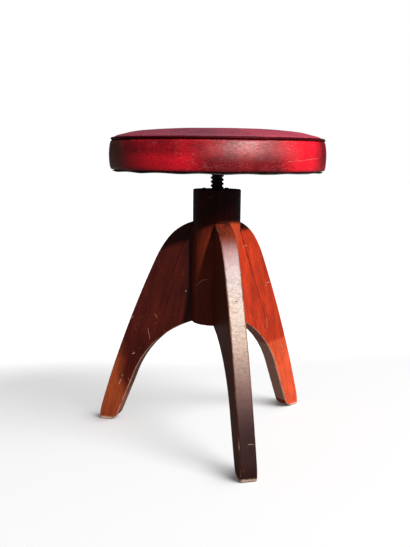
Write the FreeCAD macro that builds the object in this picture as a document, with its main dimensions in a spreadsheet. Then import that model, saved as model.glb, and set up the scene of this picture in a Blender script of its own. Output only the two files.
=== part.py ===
import FreeCAD, Part
import math
import os
import re
import Sketcher

# A revolving piano stool: a round post on three sawn legs, with a screw-lift round seat.
# The origin is on the floor under the post's axis, +Z is up and the front leg points along -Y.
# Lengths are millimetres.

# Driving sizes. Heights are above the floor and reaches are out from the leg's seat in the post.
SIZES = {
    "post_diameter": 76.2,
    "post_top": 401.5,
    "post_bottom": 187.0,
    "post_bore": 32.0,
    "post_edge": 1.2,
    "leg_thickness": 25.5,
    "leg_top": 350.7,
    "housing_depth": 4.1,
    "housing_fit": 0.1,
    "dovetail_length": 11.0,
    "dovetail_neck": 11.0,
    "dovetail_flare": 2.5,
    "dovetail_stop": 14.0,
    "shoulder_reach": 46.0,
    "shoulder_drop": 30.8,
    "shoulder_radius": 85.6,
    "hip_reach": 65.6,
    "hip_drop": 32.3,
    "hip_radius": 181.4,
    "back_radius": 1825.0,
    "foot_reach": 169.9,
    "toe_height": 24.0,
    "toe_setback": 3.5,
    "toe_radius": 90.0,
    "foot_chamfer": 2.2,
    "foot_length": 28.6,
    "heel_radius": 20.0,
    "arch_reach": 109.0,
    "arch_height": 78.0,
    "arch_radius": 176.0,
    "screw_diameter": 21.0,
    "thread_pitch": 6.35,
    "thread_clearance": 0.35,
    "rise_turns": 16.0,
    "stop_gap": 0.9,
    "nut_flange_diameter": 54.0,
    "nut_flange_thickness": 4.0,
    "nut_length": 38.0,
    "nut_fit": 0.1,
    "nut_screw_circle": 43.0,
    "nut_screw_head": 7.6,
    "nut_screw_head_height": 2.0,
    "nut_screw_shank": 3.6,
    "nut_screw_length": 24.0,
    "washer_fit": 1.5,
    "washer_thickness": 2.5,
    "neck_diameter": 12.0,
    "neck_tail": 8.0,
    "neck_fit": 0.3,
    "stop_pin_diameter": 3.0,
    "stop_pin_length": 22.0,
    "stop_pin_fit": 0.05,
    "plate_diameter": 120.0,
    "plate_thickness": 4.0,
    "plate_boss_diameter": 34.0,
    "tenon_diameter": 15.0,
    "tenon_fit": 0.05,
    "rivet_diameter": 20.0,
    "rivet_height": 2.5,
    "rivet_cover": 1.5,
    "plate_screw_circle": 88.0,
    "plate_screw_head": 9.0,
    "plate_screw_head_height": 2.6,
    "plate_screw_shank": 4.6,
    "plate_screw_cover": 4.0,
    "screw_fit": 0.1,
    "seat_lift": 31.5,
    "board_thickness": 18.0,
    "board_hole_gap": 1.0,
    "leather": 1.4,
    "band_radius": 168.6,
    "band_turn_in": 19.0,
    "piping_inset": 3.8,
    "piping_rise": 27.2,
    "piping_diameter": 4.8,
    "seam_gap": 0.2,
    "rim_rise": 2.6,
    "crown_rise": 13.0,
    "crown_reach": 108.0,
    "lining_thickness": 0.8,
    "lining_margin": 2.4,
    "lining_hole_gap": 4.0,
    "tack_margin": 5.0,
    "tack_head": 7.0,
    "tack_head_height": 1.0,
    "tack_shank": 1.8,
    "tack_length": 9.0,
}

# Sizes that follow from the driving ones.
RULES = {
    "post_radius": "post_diameter / 2",
    "bore_radius": "post_bore / 2",
    "leg_seat": "post_radius - housing_depth",
    "shoulder_height": "leg_top - shoulder_drop",
    "hip_height": "shoulder_height - hip_drop",
    "heel_reach": "foot_reach - foot_length",
    "heel_lean": "atan((heel_reach - arch_reach) / arch_height)",
    "heel_run": "heel_radius / tan((90 deg + heel_lean) / 2)",
    "nut_bottom": "post_top - nut_length",
    "nut_radius": "bore_radius - nut_fit",
    "washer_top": "nut_bottom - rise_turns * thread_pitch - stop_gap",
    "washer_bottom": "washer_top - washer_thickness",
    "spindle_end": "washer_bottom - neck_tail",
    "stop_pin_height": "washer_bottom - neck_tail / 2 + stop_pin_diameter / 4",
    "neck_radius": "neck_diameter / 2",
    "crest_radius": "screw_diameter / 2",
    "board_bottom": "post_top + seat_lift",
    "board_top": "board_bottom + board_thickness",
    "plate_bottom": "board_bottom - plate_thickness",
    "plate_radius": "plate_diameter / 2",
    "boss_top": "board_top - rivet_cover - rivet_height",
    "boss_radius": "plate_boss_diameter / 2",
    "tenon_radius": "tenon_diameter / 2",
    "plate_screw_length": "plate_thickness + board_thickness - plate_screw_cover",
    "piping_ring_radius": "band_radius - piping_inset",
    "piping_height": "board_top + piping_rise",
    "board_radius": "piping_ring_radius - piping_diameter / 2",
    "band_bottom": "board_bottom - leather",
    "rim_top": "piping_height + rim_rise",
    "dome_top": "rim_top + crown_rise",
    "band_top": "piping_height - piping_diameter / 2 - seam_gap",
    "lining_radius": "board_radius - lining_margin",
    "lining_top": "band_bottom",
    "lining_bottom": "lining_top - lining_thickness",
    "tack_circle": "2 * (lining_radius - tack_margin)",
}

LEGS = ("leg_front", "leg_right", "leg_left")
FRONT = -90.0
NUT_SCREWS = 3
PLATE_SCREWS = 4
TACKS = 16
TACK_HEAD_SIDES = 6
TACK_SHANK_SIDES = 4
SCREW_SIDES = 8

doc = FreeCAD.newDocument("piano_stool")
sheet = doc.addObject("Spreadsheet::Sheet", "Sizes")
for line, (alias, size) in enumerate(SIZES.items(), 1):
    sheet.set(f"A{line}", alias)
    sheet.set(f"B{line}", str(size))
    sheet.setAlias(f"B{line}", alias)
doc.recompute()


def formula(text):
    """Turn a rule written with the names of sizes into an expression on the sheet."""

    def spell(match):
        word = match.group(0)
        if word in RULES:
            return "(" + formula(RULES[word]) + ")"
        return "Sizes." + word if word in SIZES else word

    return re.sub(r"[a-z_]+", spell, text)


def value(text):
    """Work out a rule as a number."""
    found = sheet.evalExpression(formula(text))
    return float(getattr(found, "Value", found))


def bind(item, **rules):
    """Tie properties of an object to rules."""
    for name, text in rules.items():
        item.setExpression(name, formula(text))


def origin_of(body, role):
    """Return the body's own origin plane or axis."""
    return next(item for item in body.Origin.OriginFeatures if item.Role == role)


def new_body(label, turn=0.0):
    """Start a body that stands on the post's axis, turned about it."""
    body = doc.addObject("PartDesign::Body", label)
    body.Label = label
    body.AllowCompound = True
    body.Placement.Rotation = FreeCAD.Rotation(FreeCAD.Vector(0, 0, 1), turn)
    return body


def arc_between(start, end, radius):
    """Return the shorter arc from start to end; a positive radius bulges to the right."""
    middle = (start + end) / 2
    along = end - start
    side = FreeCAD.Vector(along.y, -along.x, 0).normalize()
    sagitta = abs(radius) - math.sqrt(radius**2 - (along.Length / 2) ** 2)
    return Part.Arc(start, middle + side * math.copysign(sagitta, radius), end)


def outline(body, name, plane, corners, arcs=None, shift=None):
    """Draw a closed, fully sized outline.

    corners holds a pair of rules for each corner. arcs gives a signed radius rule for the side that
    leaves a corner. shift moves the whole sketch along its own axes by rules.
    """
    arcs = arcs or {}
    sketch = body.newObject("Sketcher::SketchObject", name)
    sketch.AttachmentSupport = (origin_of(body, plane), [""])
    sketch.MapMode = "FlatFace"
    for axis, rule in (shift or {}).items():
        sketch.setExpression(f"AttachmentOffset.Base.{axis}", formula(rule))
    points = [FreeCAD.Vector(value(across), value(up), 0) for across, up in corners]
    ends = []
    for index, start in enumerate(points):
        end = points[(index + 1) % len(points)]
        if index not in arcs:
            sketch.addGeometry(Part.LineSegment(start, end), False)
            ends.append((1, 2))
            continue
        radius = value(arcs[index])
        sketch.addGeometry(arc_between(start, end, radius), False)
        ends.append((1, 2) if radius > 0 else (2, 1))
    for index in range(len(points)):
        following = (index + 1) % len(points)
        sketch.addConstraint(
            Sketcher.Constraint("Coincident", index, ends[index][1], following, ends[following][0])
        )
    for index, (corner, point) in enumerate(zip(corners, points)):
        for kind, rule, place in zip(("DistanceX", "DistanceY"), corner, (point.x, point.y)):
            if rule == "0":
                axis = -2 if kind == "DistanceX" else -1
                sketch.addConstraint(Sketcher.Constraint("PointOnObject", index, ends[index][0], axis))
                continue
            number = sketch.addConstraint(
                Sketcher.Constraint(kind, -1, 1, index, ends[index][0], place)
            )
            sketch.setExpression(f"Constraints[{number}]", formula(rule))
    for index, rule in arcs.items():
        number = sketch.addConstraint(Sketcher.Constraint("Radius", index, abs(value(rule))))
        sketch.setExpression(f"Constraints[{number}]", f"abs({formula(rule)})")
    return sketch


def revolve(body, name, section):
    """Draw half a section beside the upright axis and turn it once round that axis."""
    sketch = outline(body, "section", "XZ_Plane", section)
    feature = body.newObject("PartDesign::Revolution", name)
    feature.Profile = sketch
    feature.ReferenceAxis = (sketch, ["V_Axis"])
    feature.Angle = 360


def extrude(body, name, sketch, width, cut=False):
    """Extrude an outline to both sides of its plane, adding or cutting."""
    feature = body.newObject("PartDesign::Pocket" if cut else "PartDesign::Pad", name)
    feature.Profile = sketch
    feature.Midplane = True
    bind(feature, Length=width)
    return feature


def around(body, name, feature, count):
    """Repeat a feature round the body's upright axis."""
    pattern = body.newObject("PartDesign::PolarPattern", name)
    pattern.Originals = [feature]
    pattern.Axis = (origin_of(body, "Z_Axis"), [""])
    pattern.Angle = 360
    pattern.Occurrences = count
    body.Tip = pattern
    return pattern


def make_post():
    """Turned post, bored through, recessed for the nut and housed for the three legs."""
    body = new_body("post", FRONT)
    section = [
        ("bore_radius", "post_bottom"),
        ("post_radius", "post_bottom"),
        ("post_radius", "post_top - post_edge"),
        ("post_radius - post_edge", "post_top"),
        ("nut_flange_diameter / 2 + nut_fit", "post_top"),
        ("nut_flange_diameter / 2 + nut_fit", "post_top - nut_flange_thickness"),
        ("bore_radius", "post_top - nut_flange_thickness"),
    ]
    revolve(body, "turned", section)
    doc.recompute()
    reach = "post_radius + housing_depth"
    flat = [
        ("leg_seat", "post_bottom - housing_depth"),
        (reach, "post_bottom - housing_depth"),
        (reach, "leg_top + housing_fit"),
        ("leg_seat", "leg_top + housing_fit"),
    ]
    width = "leg_thickness + 2 * housing_fit"
    sketch = outline(body, "housing_outline", "XZ_Plane", flat)
    around(body, "housings", extrude(body, "housing", sketch, width, cut=True), len(LEGS))
    doc.recompute()
    slot = dovetail_sketch(body, "slot_outline", "housing_fit", "post_bottom - housing_depth")
    feature = body.newObject("PartDesign::Pocket", "slot")
    feature.Profile = slot
    feature.Reversed = True
    bind(feature, Length="leg_top - dovetail_stop + housing_fit - post_bottom + housing_depth")
    around(body, "slots", feature, len(LEGS))


def dovetail_sketch(body, name, fit, level):
    """Draw the dovetail across the leg's end, seen from above, grown by a fit."""
    neck = f"(dovetail_neck / 2 + {fit})"
    tail = f"(dovetail_neck / 2 + dovetail_flare + {fit})"
    tip = f"leg_seat - dovetail_length - {fit}"
    corners = [
        (tip, f"0 - {tail}"),
        ("leg_seat + housing_fit", f"0 - {neck}"),
        ("leg_seat + housing_fit", neck),
        (tip, tail),
    ]
    return outline(body, name, "XY_Plane", corners, shift={"z": level})


def make_leg(label, turn):
    """Leg sawn from a board: arched inside, bowed outside, with a dovetail on its inner end."""
    body = new_body(label, turn)
    foot = "leg_seat + foot_reach"
    heel = "leg_seat + heel_reach"
    corners = [
        ("leg_seat", "post_bottom"),
        ("leg_seat + arch_reach", "arch_height"),
        (f"{heel} - heel_run * sin(heel_lean)", "heel_run * cos(heel_lean)"),
        (f"{heel} + heel_run", "0"),
        (f"{foot} - foot_chamfer", "0"),
        (foot, "foot_chamfer"),
        (f"{foot} - toe_setback", "toe_height"),
        ("leg_seat + hip_reach", "hip_height"),
        ("leg_seat + shoulder_reach", "shoulder_height"),
        ("leg_seat", "leg_top"),
    ]
    arcs = {
        0: "0 - arch_radius",
        2: "heel_radius",
        5: "toe_radius",
        6: "back_radius",
        7: "hip_radius",
        8: "shoulder_radius",
    }
    sketch = outline(body, "side_outline", "XZ_Plane", corners, arcs)
    extrude(body, "board", sketch, "leg_thickness")
    doc.recompute()
    tail = body.newObject("PartDesign::Pad", "dovetail")
    tail.Profile = dovetail_sketch(body, "dovetail_outline", "0", "post_bottom")
    bind(tail, Length="leg_top - dovetail_stop - post_bottom")


def prism(body, name, sides, centre, across, level, length, cut=False):
    """Add or cut a regular prism that fits in a circle, upwards from a level on the front line."""
    corners = []
    for side in range(sides):
        angle = (side + 0.5) * 360 / sides
        corners.append((
            f"{centre} + ({across}) / 2 * cos({angle} deg)",
            f"({across}) / 2 * sin({angle} deg)",
        ))
    feature = body.newObject("PartDesign::Pocket" if cut else "PartDesign::Pad", name)
    feature.Profile = outline(body, name + "_outline", "XY_Plane", corners, shift={"z": level})
    feature.Reversed = cut
    bind(feature, Length=length)
    doc.recompute()
    return feature


def screw_holes(body, kind, low, high, count):
    """Cut a ring of clearance holes from one height up to another."""
    doc.recompute()
    across = f"{kind}_shank + 2 * screw_fit"
    centre = f"{kind}_circle / 2"
    hole = prism(body, "hole", SCREW_SIDES, centre, across, low, f"{high} - ({low})", cut=True)
    around(body, "holes", hole, count)


def make_screws(label, kind, face, way, count):
    """Ring of wood screws whose heads bear on face and are driven up (1) or down (-1) from it."""
    body = new_body(label, FRONT)
    centre = f"{kind}_circle / 2"
    head, length = f"{kind}_head_height", f"{kind}_length"
    levels = (f"{face} - {head}", face) if way > 0 else (face, f"{face} - {length}")
    parts = [
        prism(body, "head", SCREW_SIDES, centre, f"{kind}_head", levels[0], head),
        prism(body, "shank", SCREW_SIDES, centre, f"{kind}_shank", levels[1], length),
    ]
    around(body, "ring", parts[0], count).Originals = parts


def make_nut():
    """Flanged iron nut let into the post's top, bored to clear the crests of the spindle."""
    body = new_body("spindle_nut", FRONT)
    bore = "crest_radius + thread_clearance"
    section = [
        (bore, "nut_bottom"),
        ("nut_radius", "nut_bottom"),
        ("nut_radius", "post_top - nut_flange_thickness"),
        ("nut_flange_diameter / 2", "post_top - nut_flange_thickness"),
        ("nut_flange_diameter / 2", "post_top"),
        (bore, "post_top"),
    ]
    revolve(body, "turned", section)
    screw_holes(body, "nut_screw", "post_top - nut_flange_thickness", "post_top", NUT_SCREWS)


def make_spindle():
    """Coarse-threaded steel screw, necked for the stop washer and riveted into the seat plate."""
    body = new_body("spindle", FRONT)
    section = [
        ("0", "spindle_end"),
        ("neck_radius", "spindle_end"),
        ("neck_radius", "washer_top"),
        ("crest_radius", "washer_top"),
        ("crest_radius", "plate_bottom"),
        ("tenon_radius", "plate_bottom"),
        ("tenon_radius", "boss_top"),
        ("rivet_diameter / 2", "boss_top"),
        ("rivet_diameter / 2", "boss_top + rivet_height"),
        ("0", "boss_top + rivet_height"),
    ]
    revolve(body, "turned", section)
    doc.recompute()
    hole = body.newObject("Sketcher::SketchObject", "pin_hole_outline")
    hole.AttachmentSupport = (origin_of(body, "YZ_Plane"), [""])
    hole.MapMode = "FlatFace"
    up, across = value("stop_pin_height"), value("stop_pin_diameter")
    circle = Part.Circle(FreeCAD.Vector(0, up, 0), FreeCAD.Vector(0, 0, 1), across / 2)
    hole.addGeometry(circle)
    hole.addConstraint(Sketcher.Constraint("PointOnObject", 0, 3, -2))
    number = hole.addConstraint(Sketcher.Constraint("DistanceY", -1, 1, 0, 3, up))
    hole.setExpression(f"Constraints[{number}]", formula("stop_pin_height"))
    number = hole.addConstraint(Sketcher.Constraint("Diameter", 0, across))
    hole.setExpression(f"Constraints[{number}]", formula("stop_pin_diameter + 2 * stop_pin_fit"))
    extrude(body, "pin_hole", hole, "stop_pin_length", cut=True)


def make_washer():
    """Loose stop washer that meets the nut at the top of the seat's rise."""
    disc = doc.addObject("Part::Cylinder", "washer_disc")
    hole = doc.addObject("Part::Cylinder", "washer_hole")
    washer = doc.addObject("Part::Cut", "stop_washer")
    bind(disc, Radius="bore_radius - washer_fit", Height="washer_thickness")
    bind(hole, Radius="neck_radius + neck_fit", Height="washer_thickness")
    washer.Base = disc
    washer.Tool = hole
    washer.Label = "stop_washer"
    washer.setExpression("Placement.Base.z", formula("washer_bottom"))


def make_stop_pin():
    """Cross pin that keeps the washer on the spindle's neck."""
    pin = doc.addObject("Part::Cylinder", "spindle_stop_pin")
    pin.Label = "spindle_stop_pin"
    bind(pin, Radius="stop_pin_diameter / 2", Height="stop_pin_length")
    pin.Placement = FreeCAD.Placement(FreeCAD.Vector(), FreeCAD.Rotation(FreeCAD.Vector(1, 0, 0), 90))
    pin.setExpression("Placement.Base.y", formula("stop_pin_length / 2"))
    pin.setExpression("Placement.Base.z", formula("stop_pin_height"))


def make_plate():
    """Iron plate under the seat, with a boss that holds the spindle's riveted end."""
    body = new_body("seat_plate", FRONT)
    section = [
        ("tenon_radius + tenon_fit", "plate_bottom"),
        ("plate_radius", "plate_bottom"),
        ("plate_radius", "board_bottom"),
        ("boss_radius", "board_bottom"),
        ("boss_radius", "boss_top"),
        ("tenon_radius + tenon_fit", "boss_top"),
    ]
    revolve(body, "turned", section)
    screw_holes(body, "plate_screw", "plate_bottom", "board_bottom", PLATE_SCREWS)


def make_board():
    """Round wooden seat board with a hole for the plate's boss."""
    body = new_body("seat_board", FRONT)
    section = [
        ("boss_radius + board_hole_gap", "board_bottom"),
        ("board_radius", "board_bottom"),
        ("board_radius", "board_top"),
        ("boss_radius + board_hole_gap", "board_top"),
    ]
    revolve(body, "turned", section)


def dome(under):
    """Corners of the crowned top from its centre out, a given depth under the leather's face."""
    return [
        ("0", f"dome_top - {under}"),
        ("crown_reach", f"dome_top - {under}"),
        ("board_radius", f"rim_top - {under}"),
    ]


def make_padding():
    """Firm round pad, crowned on top, between the board and the leather."""
    body = new_body("seat_padding")
    section = [("0", "board_top"), ("board_radius", "board_top")]
    section += reversed(dome("leather"))
    revolve(body, "pad", section)


def make_cover_top():
    """Crowned leather top panel."""
    body = new_body("cover_top")
    section = dome("leather") + dome("0")[::-1]
    revolve(body, "panel", section)


def make_cover_band():
    """Leather band round the seat's side, turned under the board."""
    body = new_body("cover_band")
    section = [
        ("band_radius", "band_bottom"),
        ("band_radius", "band_top"),
        ("board_radius", "band_top"),
        ("board_radius", "board_bottom"),
        ("band_radius - band_turn_in", "board_bottom"),
        ("band_radius - band_turn_in", "band_bottom"),
    ]
    revolve(body, "strip", section)


def make_piping():
    """Corded welt sewn between the top panel and the band."""
    body = new_body("piping")
    half = "piping_diameter / 2"
    inner, outer = f"piping_ring_radius - {half}", f"piping_ring_radius + {half}"
    low, high = f"piping_height - {half}", f"piping_height + {half}"
    section = [(inner, low), (outer, low), (outer, high), (inner, high)]
    revolve(body, "welt", section)


def make_lining():
    """Thin cloth stretched under the seat, clear of the plate."""
    body = new_body("dust_cover")
    section = [
        ("plate_radius + lining_hole_gap", "lining_bottom"),
        ("lining_radius", "lining_bottom"),
        ("lining_radius", "lining_top"),
        ("plate_radius + lining_hole_gap", "lining_top"),
    ]
    revolve(body, "cloth", section)


def make_tacks():
    """Ring of cut tacks that hold the lining and the band's turned-in edge."""
    body = new_body("cover_tacks")
    centre = "tack_circle / 2"
    face = "lining_bottom - tack_head_height"
    length = "tack_length - tack_head_height"
    parts = [
        prism(body, "head", TACK_HEAD_SIDES, centre, "tack_head", face, "tack_head_height"),
        prism(body, "shank", TACK_SHANK_SIDES, centre, "tack_shank", "lining_bottom", length),
    ]
    around(body, "ring", parts[0], TACKS).Originals = parts


make_post()
for index, label in enumerate(LEGS):
    make_leg(label, FRONT + index * 360 / len(LEGS))
make_nut()
make_screws("nut_screws", "nut_screw", "post_top", -1, NUT_SCREWS)
make_washer()
make_spindle()
make_stop_pin()
make_plate()
make_screws("seat_plate_screws", "plate_screw", "plate_bottom", 1, PLATE_SCREWS)
make_board()
make_padding()
make_cover_top()
make_cover_band()
make_piping()
make_lining()
make_tacks()
doc.recompute()

NODES = (
    "post",
    *LEGS,
    "spindle_nut",
    "nut_screws",
    "stop_washer",
    "spindle",
    "spindle_stop_pin",
    "seat_plate",
    "seat_plate_screws",
    "seat_board",
    "seat_padding",
    "cover_top",
    "cover_band",
    "piping",
    "dust_cover",
    "cover_tacks",
)

for item in doc.Objects:
    if "Invalid" in item.State or "Error" in item.State:
        raise RuntimeError(f"{item.Label} did not build: {item.State}")

os.makedirs("parts", exist_ok=True)
for name in NODES:
    shape = doc.getObjectsByLabel(name)[0].Shape
    if shape.isNull() or not shape.isValid() or not shape.Solids:
        raise RuntimeError(f"{name} has no valid solid")
    shape.exportStep(f"parts/{name}.step")
    print(f"{name}: {len(shape.Solids)} solid(s), {shape.Volume / 1000:.1f} cm3")
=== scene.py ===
# %% [markdown]
# # Dressing a revolving piano stool
# The stool has a round post, three sawn legs, a coarse lifting screw and a leather seat. Its solids
# were made in CAD and packed. This lesson loads them as a fixed frame and builds, piece by piece,
# what the eye sees: eased edges, a cut thread, stretched leather, worn varnish. Lengths are in
# metres in Blender, so small sizes are written in millimetres and multiplied by MM.

# %% Load the frame
import functools
import math
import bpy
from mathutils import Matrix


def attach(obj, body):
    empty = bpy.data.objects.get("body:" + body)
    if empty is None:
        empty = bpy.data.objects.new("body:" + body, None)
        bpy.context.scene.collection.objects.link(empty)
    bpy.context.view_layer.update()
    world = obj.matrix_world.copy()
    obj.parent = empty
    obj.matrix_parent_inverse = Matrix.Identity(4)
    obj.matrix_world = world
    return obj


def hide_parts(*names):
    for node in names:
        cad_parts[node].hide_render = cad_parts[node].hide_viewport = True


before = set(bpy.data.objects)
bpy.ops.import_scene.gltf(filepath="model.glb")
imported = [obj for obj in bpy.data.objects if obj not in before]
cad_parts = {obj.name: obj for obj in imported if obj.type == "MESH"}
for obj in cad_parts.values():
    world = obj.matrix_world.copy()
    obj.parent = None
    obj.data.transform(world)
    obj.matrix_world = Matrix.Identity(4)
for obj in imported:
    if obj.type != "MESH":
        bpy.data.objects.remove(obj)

from types import SimpleNamespace

import bmesh
import bpy
import numpy as np
from mathutils import Matrix, Vector
from mathutils.bvhtree import BVHTree

MM = 0.001
TURN = 2 * math.pi
bpy.context.view_layer.update()

# %% [markdown]
# ## The camera
# The place of the camera was worked out from the photograph: a little above the middle of the
# stool, just over a metre away, looking slightly down. Doing this first means that every piece can
# be judged against the picture while it is made. The lens goes with a 36 mm long side.

# %% Camera
CAMERA_DISTANCE = 1144.07 * MM
CAMERA_HEIGHT = 455.24 * MM
CAMERA_AZIMUTH = math.radians(-14.294)
CAMERA_PITCH = math.radians(9.436)
CAMERA_YAW = math.radians(-0.891)
CAMERA_ROLL = math.radians(0.612)
LENS_MM = 47.06


def link(name, data):
    """Put an object with this data in the scene."""
    item = bpy.data.objects.new(name, data)
    bpy.context.scene.collection.objects.link(item)
    return item


about_z = Matrix.Rotation(CAMERA_AZIMUTH, 3, "Z")
level = math.cos(CAMERA_PITCH)
ahead = about_z @ Vector((
    math.sin(CAMERA_YAW) * level, math.cos(CAMERA_YAW) * level, -math.sin(CAMERA_PITCH)))
across = about_z @ Vector((math.cos(CAMERA_YAW), -math.sin(CAMERA_YAW), 0))
above = across.cross(ahead)
across = across * math.cos(CAMERA_ROLL) + above * math.sin(CAMERA_ROLL)
above = across.cross(ahead)

camera = link("camera", bpy.data.cameras.new("camera"))
camera.data.lens = LENS_MM
camera.data.clip_start = 0.05
camera.matrix_world = Matrix.Translation(
    about_z @ Vector((0, -CAMERA_DISTANCE, CAMERA_HEIGHT))
) @ Matrix((across, above, -ahead)).transposed().to_4x4()
bpy.context.scene.camera = camera
print("camera at", [round(x, 3) for x in camera.matrix_world.translation])

# %% [markdown]
# ## Wiring nodes from a script
# Node trees read like recipes once the output of a node can be used in a sum. A Wire is such an
# output: adding or multiplying wires adds the nodes that do it, in the same tree. The helpers
# below it put in the other nodes that most trees need, for shaders and for geometry alike.

# %% Wires and sums
class Wire:
    """The output of a node; a sum written with wires adds the nodes that work it out."""

    def __init__(self, tree, socket):
        self.tree, self.socket = tree, socket

    def maths(self, operation, *terms, clamp=False):
        """Add one step of arithmetic."""
        return add(self.tree, "ShaderNodeMath", dict(enumerate(terms)),
                   operation=operation, use_clamp=clamp)

    def __add__(self, other):
        return self.maths("ADD", self, other)

    def __sub__(self, other):
        return self.maths("SUBTRACT", self, other)

    def __rsub__(self, other):
        return self.maths("SUBTRACT", other, self)

    def __mul__(self, other):
        return self.maths("MULTIPLY", self, other)

    def __truediv__(self, other):
        return self.maths("DIVIDE", self, other)

    def __abs__(self):
        return self.maths("ABSOLUTE", self)


def add(tree, kind, inputs=None, output=0, **options):
    """Add a node, set its options, fill its inputs and return one output as a wire.

    Inputs and the output are named by index, identifier or name.
    """
    node = tree.nodes.new(kind)
    for option, choice in options.items():
        setattr(node, option, choice)
    for key, given in (inputs or {}).items():
        socket = node.inputs[key] if isinstance(key, int) else next(
            s for s in node.inputs if key in (s.identifier, s.name) and s.enabled)
        fill(socket, given, tree)
    return Wire(tree, node.outputs[output] if isinstance(output, int) else next(
        s for s in node.outputs if output in (s.identifier, s.name)))


def fill(socket, given, tree):
    """Give a socket a wire or a constant."""
    if isinstance(given, Wire):
        tree.links.new(given.socket, socket)
    else:
        socket.default_value = given


def feed(sockets, **wires):
    """Lead wires into named sockets; underscores in the names stand for spaces."""
    for label, wire in wires.items():
        fill(sockets[label.replace("_", " ")], wire, wire.tree)


def largest(first, second):
    """The larger of a wire and another number."""
    return first.maths("MAXIMUM", first, second)


def smallest(first, second):
    """The smaller of a wire and another number."""
    return first.maths("MINIMUM", first, second)


def clamped(value):
    """The number kept between 0 and 1."""
    return value.maths("ADD", value, 0.0, clamp=True)

# %% Vectors, ramps, colours and noise
def vectors(operation, first, second=(0, 0, 0)):
    """Work out one vector, or for DOT_PRODUCT and LENGTH one number, from vectors."""
    output = "Value" if operation in ("DOT_PRODUCT", "LENGTH") else "Vector"
    return add(first.tree, "ShaderNodeVectorMath", {0: first, 1: second}, output,
               operation=operation)


def scaled(vector, factor):
    """A vector times a number."""
    return add(vector.tree, "ShaderNodeVectorMath", {0: vector, "Scale": factor},
               operation="SCALE")


def combined(tree, x=0.0, y=0.0, z=0.0):
    """A vector from three numbers."""
    return add(tree, "ShaderNodeCombineXYZ", {0: x, 1: y, 2: z})


def axes(vector):
    """The three numbers of a vector."""
    node = add(vector.tree, "ShaderNodeSeparateXYZ", {0: vector}).socket.node
    return [Wire(vector.tree, socket) for socket in node.outputs]


def spun(vector, x=0.0, y=0.0, z=0.0):
    """A place turned about the axes, by degrees."""
    return add(vector.tree, "ShaderNodeMapping", {
        "Vector": vector, "Rotation": [math.radians(angle) for angle in (x, y, z)]})


def ramp(value, low, high, start=0.0, end=1.0):
    """Ease from start to end while the value goes from low to high."""
    return add(value.tree, "ShaderNodeMapRange", {
        "Value": value, "From Min": low, "From Max": high, "To Min": start, "To Max": end,
    }, interpolation_type="SMOOTHSTEP")


def ramp_mm(value, low, high, start=0.0, end=1.0):
    """The same for a length, with low and high in millimetres."""
    return ramp(value, low * MM, high * MM, start, end)


def rgb(red, green, blue):
    """A colour written in linear light."""
    return (red, green, blue, 1.0)


def darker(colour, share):
    """The same colour with only a share of its light."""
    return rgb(*(part * share for part in colour[:3]))


def blend(share, first, second):
    """Blend two colours; share 0 is the first and 1 the second."""
    return add(share.tree, "ShaderNodeMix", {
        "Factor_Float": share, "A_Color": first, "B_Color": second,
    }, "Result_Color", data_type="RGBA")


def noise(vector, scale, detail=3.0, distortion=0.0, output=0):
    """Soft noise whose blotches are 1/scale metres across."""
    return add(vector.tree, "ShaderNodeTexNoise", {
        "Vector": vector, "Scale": scale, "Detail": detail, "Distortion": distortion}, output)


def cloud(vector, scale, detail=3.0, stretch=(1, 1, 1), seed=0.0):
    """The same, squeezed along the axes; each seed gives a pattern of its own."""
    placed = add(vector.tree, "ShaderNodeMapping", {
        "Vector": vector, "Location": (seed, seed * 0.7, -seed), "Scale": stretch})
    return noise(placed, scale, detail)

# %% Groups
def start_group(kind, name, inputs, outputs):
    """Start a node group; return it, the wires of its inputs and the sockets of its outputs.

    An input is given as the type of its socket, or for a plain number as its usual value.
    """
    group = bpy.data.node_groups.new(name, kind)
    made = "Geometry" if kind == "GeometryNodeTree" else "Float"
    for label in outputs:
        group.interface.new_socket(label, in_out="OUTPUT", socket_type="NodeSocket" + made)
    for label, given in inputs.items():
        typed = isinstance(given, str)
        socket = group.interface.new_socket(
            label, in_out="INPUT", socket_type="NodeSocket" + (given if typed else "Float"))
        if not typed:
            socket.default_value = given
    start = group.nodes.new("NodeGroupInput").outputs
    end = group.nodes.new("NodeGroupOutput").inputs
    print("group:", name)
    return group, {label: Wire(group, start[label]) for label in inputs}, end


def use(group, vector, **inputs):
    """Put a shader group beside a vector's node; return its outputs by name."""
    node = vector.tree.nodes.new("ShaderNodeGroup")
    node.node_tree = group
    for label, given in {"Vector": vector, **inputs}.items():
        fill(node.inputs[label.replace("_", " ")], given, vector.tree)
    return {socket.name: Wire(vector.tree, socket) for socket in node.outputs}

# %% [markdown]
# ## Effects that several finishes share
# Wood fibres, rubbed edges, hairline scratches, single marks and the pebbled skin of leather are
# each wanted in more than one material. Each is a group, built once. It gives out only masks and
# heights, so the material that uses it decides on colours and gloss.

# %% Wood fibres
wood_fibres, given, result = start_group("ShaderNodeTree", "wood_fibres", {
    "Vector": "Vector", "Fibre scale": 700.0, "Figure scale": 75.0, "Seed": 0.0,
}, ["Figure", "Fibre", "Pores", "Height"])
shift = combined(wood_fibres, x=given["Seed"], z=given["Seed"])
shifted = vectors("ADD", given["Vector"], shift)
long_fibre = vectors("MULTIPLY", shifted, (1, 1, 0.045))
long_figure = vectors("MULTIPLY", shifted, (1, 1, 0.09))
fibre = noise(long_fibre, given["Fibre scale"])
pores = ramp(noise(long_fibre, given["Fibre scale"] * 1.6, 1.0), 0.6, 0.7)
feed(result, Figure=noise(long_figure, given["Figure scale"], distortion=0.5), Fibre=fibre,
     Pores=pores, Height=fibre * 0.5 - pores)

# %% Rubbed edges
rubbed_edges, given, result = start_group("ShaderNodeTree", "rubbed_edges", {
    "Vector": "Vector", "Edge": 0.0, "Wear": 0.5, "Patch scale": 60.0}, ["Mask"])
patches = cloud(given["Vector"], given["Patch scale"], 4.0)
feed(result, Mask=ramp(given["Edge"] + (patches - 1.0) + given["Wear"], 0.62, 0.95))

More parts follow.
